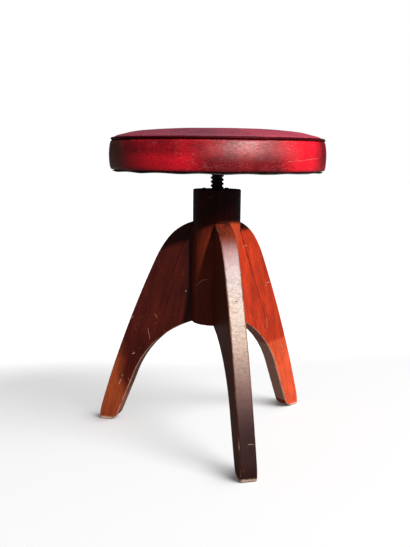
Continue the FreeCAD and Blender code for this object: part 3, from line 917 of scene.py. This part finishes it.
# %% Legs
def leg_mesh(name, turn_deg, dents):
    """Rings of the outline across the thickness, nicked along the arrises, and the dovetail."""
    generator = np.random.default_rng(dents)
    arch = np.isin(outline_sides, ARCH_SIDES).astype(float)
    points, edges, sawn = [], [], []
    rings, count = leg_rings(), len(outline)
    for across_by, depth, edge in rings:
        drawn = inset(outline, depth)
        if edge == 1.0:
            nick = generator.random(count) ** 14 * 0.9
            nick = (nick + np.roll(nick, 1) * 0.5 + np.roll(nick, -1) * 0.5)[:, None]
            drawn = drawn + (inset(outline, depth + 1.0) - drawn) * np.minimum(nick, 0.9)
        points += [(r * MM, across_by * MM, z * MM) for r, z in drawn]
        edges += [edge] * count
        sawn += list(arch if depth < ARRIS * 0.5 else arch * 0)
    faces = row_faces(len(rings), count, False)
    faces += [tuple(range(count)), tuple(reversed(range(len(points) - count, len(points))))]
    tail_points, tail_faces = dovetail(len(points))
    mesh = bpy.data.meshes.new(name)
    mesh.from_pydata(points + tail_points, [], faces + tail_faces)
    for label, numbers in (("edge", edges), ("sawn", sawn)):
        numbers = np.array(numbers + [0.0] * len(tail_points), np.float32)
        mesh.attributes.new(label, "FLOAT", "POINT").data.foreach_set("value", numbers)
    work = bmesh.new()
    work.from_mesh(mesh)
    bmesh.ops.recalc_face_normals(work, faces=work.faces)
    bmesh.ops.rotate(work, verts=work.verts,
                     matrix=Matrix.Rotation(math.radians(turn_deg), 3, "Z"))
    work.to_mesh(mesh)
    work.free()
    return mesh


for number, (label, turn_deg) in enumerate(LEG_TURNS.items()):
    mesh = leg_mesh("sawn_" + label, turn_deg, number + 1)
    mount("sawn_" + label, mesh, "base", leg_finishes[label], label)
    for face in mesh.polygons:
        in_rings = face.index < len(mesh.polygons) - DOVETAIL_FACES
        face.use_smooth = len(face.vertices) == 4 and in_rings

# %% [markdown]
# ## The lifting screw
# A coarse square-shouldered thread carries the seat: six millimetres of lift for each turn. Its
# shape follows a rule, so Geometry Nodes make it. A flat grid is rolled into a tube whose rows
# climb one pitch in each turn. The distance of each point from the axis is read from a curve that
# is the section of the thread: crest, flank, root, flank. Rows beyond the ends are pressed flat
# onto the end planes and merged, so the thread runs out cleanly.

# %% Helpers that run a geometry tree
def grown(tree, name, settings):
    """Run the tree once with these settings and return its result as a plain mesh."""
    holder = link(name, bpy.data.meshes.new(name))
    modifier = holder.modifiers.new(name, "NODES")
    modifier.node_group = tree
    for item in tree.interface.items_tree:
        if item.item_type == "SOCKET" and item.in_out == "INPUT":
            modifier[item.identifier] = settings[item.name]
    mesh = evaluated(holder)
    mesh.name = name
    bpy.data.objects.remove(holder)
    print("grown:", name, len(mesh.vertices), "points")
    return mesh


def end_tree(geometry, finish, result):
    """End a tree with real geometry in its finish."""
    real = add(geometry.tree, "GeometryNodeRealizeInstances", {"Geometry": geometry})
    feed(result, Geometry=add(geometry.tree, "GeometryNodeSetMaterial", {
        "Geometry": real, "Material": finish}))

# %% Tree for the thread
ROWS_A_TURN = 10
SPARE_TURNS = 3.0
thread_tree, given, result = start_group("GeometryNodeTree", "coarse_thread", {
    "Crest radius": "Float", "Root radius": "Float", "Pitch": "Float", "Bottom": "Float",
    "Top": "Float", "Sides": "Int", "Finish": "Material"}, ["Geometry"])
pitch, bottom, top, root = (given[key] for key in ("Pitch", "Bottom", "Top", "Root radius"))
turns = (top - bottom) / pitch + SPARE_TURNS
row_count = turns * ROWS_A_TURN
row_count = row_count.maths("ROUND", row_count) + 1.0
sheet = add(thread_tree, "GeometryNodeMeshGrid", {
    "Size X": 1.0, "Size Y": 1.0, "Vertices X": given["Sides"] + 1.0, "Vertices Y": row_count,
}, "Mesh")
at_x, at_y, _ = axes(add(thread_tree, "GeometryNodeInputPosition"))
turn_share = at_x + 0.5
row_number = (at_y + 0.5) * (row_count - 1.0)
row_number = row_number.maths("ROUND", row_number)
climb = (row_number + 0.5) / ROWS_A_TURN + turn_share
level_up = smallest(largest((climb - 2.0) * pitch + bottom, bottom), top)

# The phase runs from 0 to 1 along each pitch, and the curve is the section of the thread.
phase = (level_up - bottom) / pitch - turn_share + 2.0
phase = phase.maths("FRACT", phase)
section = add(thread_tree, "ShaderNodeFloatCurve", {"Value": abs(phase * 2.0 - 1.0)})
mapping = section.socket.node.mapping
for x, y in ((0.2, 1.0), (0.3, 0.95), (0.7, 0.05), (0.8, 0.0)):
    mapping.curves[0].points.new(x, y)
mapping.curves[0].points[0].location = (0.0, 1.0)
mapping.curves[0].points[-1].location = (1.0, 0.0)
for point in mapping.curves[0].points:
    point.handle_type = "VECTOR"
mapping.update()
out_by = section * (given["Crest radius"] - root) + root
angle = turn_share * TURN
rolled = combined(thread_tree, out_by * angle.maths("COSINE", angle),
                  out_by * angle.maths("SINE", angle), level_up)
skin = add(thread_tree, "GeometryNodeSetPosition", {"Geometry": sheet, "Position": rolled})
skin = add(thread_tree, "GeometryNodeMergeByDistance", {"Geometry": skin, "Distance": 0.02 * MM})
end_tree(skin, given["Finish"], result)

# %% Screw
THREAD = {"Crest radius": 10.5 * MM, "Root radius": 8.2 * MM, "Pitch": 6.35 * MM,
          "Bottom": 261.0 * MM, "Top": 429.0 * MM, "Sides": 48, "Finish": screw_finish}
thread = tidy(grown(thread_tree, "thread", THREAD), 0.02 * MM)
neck = turned("neck", [(0, 250.5), (5.6, 250.5), (6.0, 250.9), (6.0, 262.0), (0, 262.0)], 32)
tenon = turned("tenon", [(0, 428.0), (7.5, 428.0), (7.5, 447.3), (10.0, 447.1), (9.4, 448.5),
                         (6.0, 449.4), (0, 449.5)], 32)
mount("lifting_screw", joined("lifting_screw", [thread, neck, tenon]), "seat",
      screw_finish, "spindle", smooth=False)
print("thread turns:", round((THREAD["Top"] - THREAD["Bottom"]) / THREAD["Pitch"], 1))

# %% [markdown]
# ## Screws and tacks
# The nut is held by three slotted screws and the seat plate by four, and a ring of tacks holds the
# lining. One fastener of each kind is shaped, then a single geometry tree sets copies of it round
# a circle and turns each one by a random amount, as no two slots ever line up.

# %% One fastener of each kind
def slotted(name, profile, slot_width, slot_low, slot_high):
    """Turn a screw and cut its slot."""
    body = link(name, turned(name, profile, 24))
    box = bmesh.new()
    bmesh.ops.create_cube(box, size=1.0)
    bmesh.ops.scale(box, verts=box.verts, vec=(
        30 * MM, slot_width * MM, (slot_high - slot_low) * MM))
    bmesh.ops.translate(box, verts=box.verts, vec=(0, 0, (slot_high + slot_low) / 2 * MM))
    cutter = link("slot_cutter", bpy.data.meshes.new("slot_cutter"))
    box.to_mesh(cutter.data)
    box.free()
    cut = body.modifiers.new("slot", "BOOLEAN")
    cut.operation, cut.solver, cut.object = "DIFFERENCE", "EXACT", cutter
    mesh = evaluated(body)
    mesh.name = name
    for item in (body, cutter):
        bpy.data.objects.remove(item)
    return mesh


nut_screw = slotted("nut_screw", [
    (0, -24), (0.6, -23), (1.8, -18), (1.8, 0), (3.8, 0), (3.7, 0.6), (3.1, 1.4), (1.9, 1.85),
    (0, 2.0)], 0.8, 0.9, 3.0)
plate_screw = slotted("plate_screw", [
    (0, 18), (0.7, 17), (2.3, 12), (2.3, 0), (4.5, 0), (4.4, -0.7), (3.7, -1.8), (2.2, -2.4),
    (0, -2.6)], 1.0, -3.6, -1.2)
tack = turned("tack", [(0, 8), (0.8, 0), (3.5, 0), (3.3, -0.35), (2.2, -0.8), (0, -1.0)], 12)
print("fasteners:", len(nut_screw.polygons), len(plate_screw.polygons), len(tack.polygons), "faces")

# %% Tree for a ring of fasteners
ring_tree, given, result = start_group("GeometryNodeTree", "ring_of_fasteners", {
    "Fastener": "Object", "Count": "Int", "Ring radius": "Float", "Level": "Float",
    "First angle": "Float", "Unevenness": "Float", "Seed": "Int", "Finish": "Material",
}, ["Geometry"])
ring = add(ring_tree, "GeometryNodeMeshCircle", {
    "Vertices": given["Count"], "Radius": given["Ring radius"]})
ring = add(ring_tree, "GeometryNodeTransform", {
    "Geometry": ring, "Rotation": combined(ring_tree, z=given["First angle"]),
    "Translation": combined(ring_tree, z=given["Level"])})
stray = add(ring_tree, "FunctionNodeRandomValue", {
    "Min": (-1, -1, 0), "Max": (1, 1, 0), "Seed": given["Seed"]}, data_type="FLOAT_VECTOR")
ring = add(ring_tree, "GeometryNodeSetPosition", {
    "Geometry": ring, "Offset": scaled(stray, given["Unevenness"])})
own_turn = add(ring_tree, "FunctionNodeRandomValue", {
    "Min": (0, 0, 0), "Max": (0, 0, TURN), "Seed": given["Seed"]}, data_type="FLOAT_VECTOR")
shape = add(ring_tree, "GeometryNodeObjectInfo", {"Object": given["Fastener"]}, "Geometry")
copies = add(ring_tree, "GeometryNodeInstanceOnPoints", {
    "Points": ring, "Instance": shape, "Rotation": own_turn})
end_tree(copies, given["Finish"], result)

# %% Fasteners in place
def mount_ring(name, fastener, body, replaced, count, radius, level, first_deg, uneven, seed):
    """Set copies of a fastener round the axis and mount them as one piece."""
    holder = link("pattern", fastener)
    made = grown(ring_tree, name, {
        "Fastener": holder, "Count": count, "Ring radius": radius * MM, "Level": level * MM,
        "First angle": math.radians(first_deg), "Unevenness": uneven * MM, "Seed": seed,
        "Finish": fastener_finish})
    bpy.data.objects.remove(holder)
    mount(name, made, body, fastener_finish, replaced, smooth=False)


mount_ring("nut_flange_screws", nut_screw, "base", "nut_screws", 3, 21.5, 401.5, -90.0, 0.0, 3)
mount_ring("plate_slotted_screws", plate_screw, "seat", "seat_plate_screws",
           4, 44.0, 429.0, -90.0, 0.0, 5)
mount_ring("lining_tacks", tack, "seat", "cover_tacks", 16, 155.0, 430.75, 0.0, 0.8, 11)

# %% [markdown]
# ## The stuffed form
# Under the leather is a pad of curled hair, built up higher in the middle. It is simulated, because
# a drawn dome looks too perfect: the form starts a little small and slightly lumpy, is remeshed
# into an even net, and is blown up as a cloth bag for twenty frames with its foot held down. How
# far it may swell is capped. What it becomes is the pad itself, and the leather is laid over it.

# %% Measured section of the seat
BOARD_TOP = 451.3
SEAM_LEVEL = 478.2
SEAM_RADIUS = 164.8
CROWN_EDGE = 164.5
CROWN_RISE = 15.9
FULLEST_LEVEL = 454


def crown_level(radius):
    """Height of the leather crown at a radius, measured on the photograph, in millimetres."""
    rim = np.clip(1 - (np.asarray(radius, float) / CROWN_EDGE) ** 3.1, 0, 1)
    return SEAM_LEVEL + CROWN_RISE * rim ** (1 / 1.79)


def side_radius(level):
    """Radius of the leather side at a height: fullest at 454, drawn in at both seams."""
    level = np.asarray(level, float)
    above_by = np.maximum(level - FULLEST_LEVEL, 0) / 18
    below_by = np.maximum(FULLEST_LEVEL - level, 0) / 20.5
    return 169.6 - 1.9 * above_by ** 2 - 1.4 * below_by ** 2


def lumps(angle, radius, seed, count=7):
    """A smooth unevenness from -1 to 1 that is the same each run."""
    generator = np.random.default_rng(seed)
    total = np.zeros_like(np.asarray(angle, float) + radius)
    for k in range(1, count + 1):
        phase_a, phase_b, size = generator.random(3)
        total = total + (0.4 + size) * np.sin(k * angle + TURN * phase_a) * np.sin(
            radius / 30.0 * (1 + k / 4) + TURN * phase_b)
    return total / count

# %% The pad before it swells
PAD_SHRINK = 2.6
SWELL_CAP = 2.2
LUMP_HEIGHT = 0.9
VOXEL = 5 * MM


def pad_start():
    """A closed crowned disc; the lumps push the side outwards and the crown upwards."""
    angles = np.linspace(0, TURN, 96, endpoint=False)
    section = [(radius, BOARD_TOP) for radius in (0, 60, 120, 163)]
    section += [(float(side_radius(level)) - PAD_SHRINK, level)
                for level in (454, 458, 462, 466, 470, 474)]
    section += [(radius, float(crown_level(radius)) - PAD_SHRINK)
                for radius in (163.5, 161, 158, 152, 145, 135, 120, 100, 75, 50, 25, 0)]
    rows = []
    for radius, level in section:
        uneven = lumps(angles, radius, 17) * LUMP_HEIGHT
        if level < BOARD_TOP + 1:
            uneven = uneven * 0
        out = radius + uneven * (0.5 if radius > 163 else 0)
        up = level + uneven * (0 if radius > 163 else 1)
        rows.append([ring_point(out[j], a, up[j]) for j, a in enumerate(angles)])
    return grid_mesh("stuffed_pad", rows, False)


pad = link("stuffed_pad", pad_start())
bpy.context.view_layer.objects.active = pad
pad.select_set(True)
pad.data.remesh_voxel_size = VOXEL
bpy.ops.object.voxel_remesh()
print("remeshed pad:", len(pad.data.vertices), "points")

# %% Swell the pad
SWELL_FRAMES = 20
PRESSURE = 4.0
STIFFNESS = 25.0


def swell(form, held_below, cap):
    """Blow the form up as cloth for some frames and keep each point within the cap."""
    start = np.array([v.co for v in form.data.vertices])
    pins = form.vertex_groups.new(name="held")
    pins.add([i for i, p in enumerate(start) if p[2] < held_below], 1.0, "REPLACE")
    cloth = form.modifiers.new("swelling", "CLOTH")
    cloth.settings.use_pressure = True
    cloth.settings.uniform_pressure_force = PRESSURE
    cloth.settings.effector_weights.gravity = 0.0
    cloth.settings.vertex_group_mass = "held"
    cloth.settings.tension_stiffness = STIFFNESS
    cloth.settings.compression_stiffness = STIFFNESS
    for number in range(1, SWELL_FRAMES + 1):
        bpy.context.scene.frame_set(number)
    graph = bpy.context.evaluated_depsgraph_get()
    swollen = form.evaluated_get(graph).to_mesh()
    moved = np.array([v.co for v in swollen.vertices]) - start
    form.evaluated_get(graph).to_mesh_clear()
    form.modifiers.remove(cloth)
    bpy.context.scene.frame_set(1)
    far = np.linalg.norm(moved, axis=1)
    kept = start + moved * np.minimum(1, cap / np.maximum(far, 1e-9))[:, None]
    form.data.vertices.foreach_set("co", kept.astype(np.float32).ravel())
    form.data.update()
    print("swelling: mean", round(float(far.mean()) / MM, 2), "mm, most",
          round(float(far.max()) / MM, 2))


swell(pad, (BOARD_TOP + 1.0) * MM, SWELL_CAP * MM)
smoother = pad.modifiers.new("smoother", "SUBSURF")
smoother.levels = smoother.render_levels = 1
pad_mesh = evaluated(pad)
bpy.data.objects.remove(pad)
pad_tree = BVHTree.FromPolygons([v.co for v in pad_mesh.vertices],
                                [tuple(p.vertices) for p in pad_mesh.polygons])
stuffed_pad = mount("stuffed_pad", pad_mesh, "seat", stuffing_finish, "seat_padding")

# %% [markdown]
# ## The leather crown
# The top panel is a disc of hide, pulled down over the pad and sewn to the side with a piped seam.
# Its points are dropped onto the swollen pad along vertical lines, a leather's thickness above it,
# and eased into the measured line near the seam. Small pulls run in from the stitches.

# %% Lay the crown
LEATHER = 1.4
ANGLES = 256
PULL_HEIGHT = 0.9
CROWN_FOLD = 164.3
RADII = [0, 6, 14, 24, 36, 50, 64, 78, 92, 104, 114, 122, 129, 135, 140, 144.5, 148.5, 152,
         154.8, 157, 158.8, 160.2, 161.4, 162.3]


def limited(value):
    """A plain number kept between 0 and 1."""
    return min(1.0, max(0.0, value))


def averaged(values, width):
    """Each value of a ring averaged with its neighbours."""
    count = len(values)
    return np.convolve(np.tile(values, 3), np.ones(width) / width, "same")[count:2 * count]


def pad_top(x, y):
    """Height of the pad under a point, in millimetres."""
    hit = pad_tree.ray_cast(Vector((x, y, 0.6)), Vector((0, 0, -1)))[0]
    return hit.z / MM if hit else None


def crown_rows():
    """Rings of the crown's outer face from the middle to the seam."""
    generator = np.random.default_rng(23)
    pulls = averaged(generator.random(ANGLES), 5)
    rows = []
    for radius in RADII:
        drawn = float(crown_level(radius))
        eased = limited((radius - 136) / 20.0)
        eased = eased * eased * (3 - 2 * eased)
        near_seam = math.exp(-((radius - 156) / 7.0) ** 2)
        row = []
        for j, a in enumerate(np.linspace(0, TURN, ANGLES, endpoint=False)):
            x, y, _ = ring_point(radius, a, 0)
            found = pad_top(x, y)
            laid = found + PAD_SHRINK - SWELL_CAP + LEATHER * 0.7 if found else drawn
            pull = (pulls[j] - 0.5) * PULL_HEIGHT * near_seam
            row.append((x, y, (laid * (1 - eased) + drawn * eased + pull) * MM))
        rows.append(row)
    return rows


outer = crown_rows()
widen = CROWN_FOLD / RADII[-1]
fold = [[(x * widen, y * widen, (SEAM_LEVEL - 1.6) * MM) for x, y, z in outer[-1]]]
inner = [[(x, y, z - LEATHER * MM) for x, y, z in row] for row in reversed(outer)]
crown = mount("leather_crown", grid_mesh("leather_crown", outer + fold + inner, False), "seat",
              top_finish, "cover_top")
print("crown top:", round(max(p[2] for row in outer for p in row) / MM, 2), "mm")

# %% [markdown]
# ## The leather side
# The side is one strip of hide, joined at the back, sewn to the crown above and turned in under
# the board below. It bulges over the pad, and its lower edge is a little uneven where the strip was
# pulled over the board by hand. The points are found by looking inwards at the swollen pad.

# %% Look inwards at the pad
JOIN_AT = math.radians(97.0)
FOLD_AT = math.radians(-155.0)
MIDDLE_LEVEL = 460.0


def pad_side(angle_at, level_at):
    """Radius of the pad in a direction at a height, in millimetres."""
    out = Vector((math.cos(angle_at), math.sin(angle_at), 0))
    start = out * 0.25 + Vector((0, 0, level_at * MM))
    hit = pad_tree.ray_cast(start, -out)[0]
    return math.hypot(hit.x, hit.y) / MM if hit else None


side_angles = np.linspace(0, TURN, ANGLES, endpoint=False)
sags = lumps(side_angles, 40.0, 31, 23) * 0.55
swellings = averaged([(pad_side(a, MIDDLE_LEVEL) or 167.0) - float(side_radius(MIDDLE_LEVEL))
                      for a in side_angles], 7)
swellings -= swellings.mean()
print("side uneven by", round(float(np.ptp(swellings)), 2), "mm")

# %% Lay the side
SIDE_LEATHER = 1.3


def side_section():
    """Outer line of the strip as (radius, height, pull) from the seam to the turned-in edge."""
    line = [(164.6, 476.2, 0.0), (166.4, 475.2, 0.0)]
    line += [(float(side_radius(z)), z, 1.0) for z in np.linspace(473.6, 436.0, 16)]
    line += [(167.9, 434.2, 1.0), (167.5, 433.0, 1.0), (166.7, 432.2, 1.0), (165.4, 431.8, 1.0),
             (163.0, 431.6, 0.6), (158.0, 431.6, 0.0), (150.0, 431.6, 0.0)]
    return line


def dip(angle_at, centre, width):
    """A narrow dip round the seat: 1 at its centre and 0 away from it."""
    off = (angle_at - centre + math.pi) % TURN - math.pi
    return math.exp(-(off / width) ** 2)


def side_rows(inwards):
    """Rings of the strip, moved in by a thickness."""
    rows = []
    line = side_section()
    for k, (radius, level_at, pull) in enumerate(line):
        before, after = line[max(k - 1, 0)], line[min(k + 1, len(line) - 1)]
        run = np.array([after[0] - before[0], after[1] - before[1]])
        normal = np.array([run[1], -run[0]]) / np.linalg.norm(run)
        low_share = limited((445.0 - level_at) / 12.0) * pull
        row = []
        for j, a in enumerate(side_angles):
            out = radius + swellings[j] * pull * (1 - low_share) + normal[0] * inwards
            up = level_at + normal[1] * inwards + sags[j] * low_share
            out -= 0.8 * dip(a, JOIN_AT, 0.006) * pull
            up -= 1.1 * dip(a, FOLD_AT, 0.05) * low_share
            row.append(ring_point(out, a, up))
        rows.append(row)
    return rows


side_mesh = grid_mesh("leather_side", side_rows(0.0) + side_rows(SIDE_LEATHER)[::-1], True)
side = mount("leather_side", side_mesh, "seat", band_finish, "cover_band")

# %% [markdown]
# ## The piping
# A cord in a sleeve of hide is sewn into the seam all round. It follows a path, so a geometry tree
# makes it: a circle, shaken a little by noise as a hand-sewn seam is, with a round section swept
# along it. The noise repeats nowhere and joins at the ends because it reads the place in space.

# %% Piping
piping_tree, given, result = start_group("GeometryNodeTree", "piped_seam", {
    "Ring radius": "Float", "Level": "Float", "Cord radius": "Float", "Wander": "Float",
    "Steps": "Int", "Finish": "Material"}, ["Geometry"])
path = add(piping_tree, "GeometryNodeCurvePrimitiveCircle", {
    "Resolution": given["Steps"], "Radius": given["Ring radius"]})
where = add(piping_tree, "GeometryNodeInputPosition")
shake = vectors("SUBTRACT", noise(where, 24.0, 2.0, output="Color"), (0.5, 0.5, 0.5))
lift = combined(piping_tree, z=given["Level"])
path = add(piping_tree, "GeometryNodeSetPosition", {
    "Geometry": path, "Offset": vectors("ADD", scaled(shake, given["Wander"]), lift)})
section = add(piping_tree, "GeometryNodeCurvePrimitiveCircle", {
    "Resolution": 12, "Radius": given["Cord radius"]})
cord_skin = add(piping_tree, "GeometryNodeCurveToMesh", {
    "Curve": path, "Profile Curve": section})
end_tree(cord_skin, given["Finish"], result)
piping_mesh = tidy(grown(piping_tree, "seam_piping", {
    "Ring radius": SEAM_RADIUS * MM, "Level": SEAM_LEVEL * MM, "Cord radius": 2.35 * MM,
    "Wander": 1.3 * MM, "Steps": 300, "Finish": piping_finish}))
mount("seam_piping", piping_mesh, "seat", piping_finish, "piping")

# %% [markdown]
# ## The lining
# A ring of grey calico covers the edge of the board below. It is held by the tacks and hangs a
# millimetre or two between them, so that its folded hem shows under the leather as a thin wavy
# grey line. It is one closed skin with the thickness of the cloth.

# %% Lining
HEM = [(64.0, 431.2), (100.0, 431.1), (140.0, 431.1), (150.0, 431.0), (155.0, 431.0),
       (159.0, 430.9), (161.5, 430.7), (163.2, 430.5), (164.2, 430.6), (164.8, 431.1)]
TACKS = 16
DROPS = 64


def lining_rows():
    """Lower face out to the hem, and upper face back again."""
    generator = np.random.default_rng(41)
    drops = averaged(generator.random(DROPS), 2)
    drops = np.append(drops, drops[0])
    faces = {False: [], True: []}
    for upper, part in faces.items():
        for radius, level_at in HEM:
            hem_share = limited((radius - 157.0) / 6.0)
            half = (0.4 + 0.15 * hem_share) if radius < 164.5 else 0.15
            row = []
            for a in side_angles:
                tacked = 0.5 - 0.5 * math.cos(TACKS * a)
                drop = np.interp(a / TURN * DROPS, range(DROPS + 1), drops)
                sag = hem_share * (0.5 + 1.2 * tacked * (0.3 + drop))
                row.append(ring_point(radius, a, level_at - sag + (half if upper else -half)))
            part.append(row)
    return faces[False] + faces[True][::-1]


lining = mount("lining_cloth", grid_mesh("lining_cloth", lining_rows(), True), "seat",
               lining_finish, "dust_cover")

# %% [markdown]
# ## Finishes on the CAD nodes that stay
# The post, the nut, the plate, the washer, its pin and the board already have the right shape, so
# they keep their solids. Only the material in each slot changes.

# %% Finish the CAD nodes
NODE_FINISHES = {
    "post": post_finish, "spindle_nut": iron_finish, "seat_plate": iron_finish,
    "stop_washer": iron_finish, "spindle_stop_pin": fastener_finish, "seat_board": board_finish}
for label, finish in NODE_FINISHES.items():
    for material_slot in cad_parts[label].material_slots:
        material_slot.material = finish
print("finished nodes:", ", ".join(NODE_FINISHES))

# %% [markdown]
# ## Floor and light
# The ground is white with soft grey shadows. The floor is pale where the camera sees it and lifted
# to white with a little glow, so that only shadows stay visible; light that bounces finds it
# darker, which keeps the shaded wood deep. The glow is full far away, so that no horizon shows.
# Close beside a foot the glow fades with ambient occlusion, a painted contact shadow, so that the
# feet stand in a darker touch of shadow. Reflections find a dim studio, as in a real one with dark
# walls. The shadow edges on the post and legs give the place of the main lamp, low and to the right
# of the camera. The shadows on the floor belong to a second lamp, higher and further right. Light
# linking lets the main lamp and the broad one overhead skip the floor.

# %% Floor
FLOOR_HALF = 9.0
FLOOR_GLOW = 0.60
TOWARDS_SKY = (0.74, -0.37, 0.56)


def rays(tree, kind):
    """One for rays of a kind, and zero for the others."""
    return add(tree, "ShaderNodeLightPath", output="Is " + kind + " Ray")


def seen_share(tree, glossy_share):
    """One for rays from the camera, straight or through glass, and a share for reflections."""
    seen = clamped(rays(tree, "Camera") + rays(tree, "Transmission"))
    return clamped(rays(tree, "Glossy") * glossy_share + seen)


floor_mesh = bpy.data.meshes.new("floor")
floor_mesh.from_pydata([(-FLOOR_HALF, -FLOOR_HALF, 0), (FLOOR_HALF, -FLOOR_HALF, 0),
                        (FLOOR_HALF, FLOOR_HALF, 0), (-FLOOR_HALF, FLOOR_HALF, 0)],
                       [], [(0, 1, 2, 3)])
floor = link("floor", floor_mesh)
floor_finish, shader, place = begin_material("pale_floor", Roughness=0.9, Specular_IOR_Level=0.0,
                                             Emission_Color=rgb(1, 1, 1))
seen = seen_share(place.tree, 0.12)
far = largest(ramp(axes(place)[1], 0.30, 0.62), ramp(vectors("LENGTH", place), 0.80, 1.50))
# The glow fades where ambient occlusion, tilted to the right, finds a foot close by: a painted
# contact shadow on the floor.
open_sky = add(place.tree, "ShaderNodeAmbientOcclusion", {
    "Distance": 0.075, "Normal": combined(place.tree, *TOWARDS_SKY)}, "AO")
glow = seen * (far * (1 - FLOOR_GLOW) + FLOOR_GLOW) * ramp(open_sky, 0.40, 0.92, 0.10, 1.0)
feed(shader, Base_Color=blend(seen, rgb(0.35, 0.35, 0.35), rgb(0.9, 0.9, 0.9)),
     Emission_Strength=glow)
floor_mesh.materials.append(floor_finish)
print("floor:", 2 * FLOOR_HALF, "m across")

# %% Surroundings
AMBIENT = rgb(0.10, 0.10, 0.10)
DARK_STUDIO = rgb(0.055, 0.056, 0.070)
world = bpy.data.worlds.new("studio")
world.use_nodes = True
tree = world.node_tree
dim = blend(rays(tree, "Glossy"), AMBIENT, DARK_STUDIO)
feed(tree.nodes["Background"].inputs, Color=blend(seen_share(tree, 0.0), dim, rgb(1, 1, 1)))
bpy.context.scene.world = world
print("world:", world.name)

# %% Lamps
TARGET = Vector((0, 0, 0.32))


def lamp(name, azimuth_deg, elevation_deg, distance, size, watts, tint=(1, 1, 1)):
    """A square soft lamp aimed at the target; azimuth is to the right of the front leg."""
    light = bpy.data.lights.new(name, "AREA")
    light.size, light.energy, light.color = size, watts, tint
    a, e = math.radians(azimuth_deg), math.radians(elevation_deg)
    away = Vector((math.sin(a) * math.cos(e), -math.cos(a) * math.cos(e), math.sin(e)))
    holder = link(name, light)
    holder.matrix_world = Matrix.Translation(TARGET + away * distance) @ (
        away.to_track_quat("Z", "Y").to_matrix().to_4x4())
    print("lamp:", name, [round(x, 2) for x in holder.matrix_world.translation], watts, "W")
    return holder


main_lamp = lamp("main_lamp", 17.0, 31.4, 5.0, 0.16, 260.0, (1.0, 0.96, 0.90))
top_lamp = lamp("top_lamp", 20.0, 82.0, 3.0, 1.80, 48.0, (0.90, 0.93, 1.0))
lamp("second_lamp", 44.0, 48.0, 4.0, 1.90, 76.0)
kept_off = bpy.data.collections.new("floor_only")
kept_off.objects.link(floor)
kept_off.collection_objects[0].light_linking.link_state = "EXCLUDE"
for holder in (main_lamp, top_lamp):
    holder.light_linking.receiver_collection = kept_off

# %% [markdown]
# ## Close the scene
# Standard colour keeps red leather red.

# %% Finish
bpy.context.scene.view_settings.view_transform = "Standard"
bpy.context.view_layer.update()
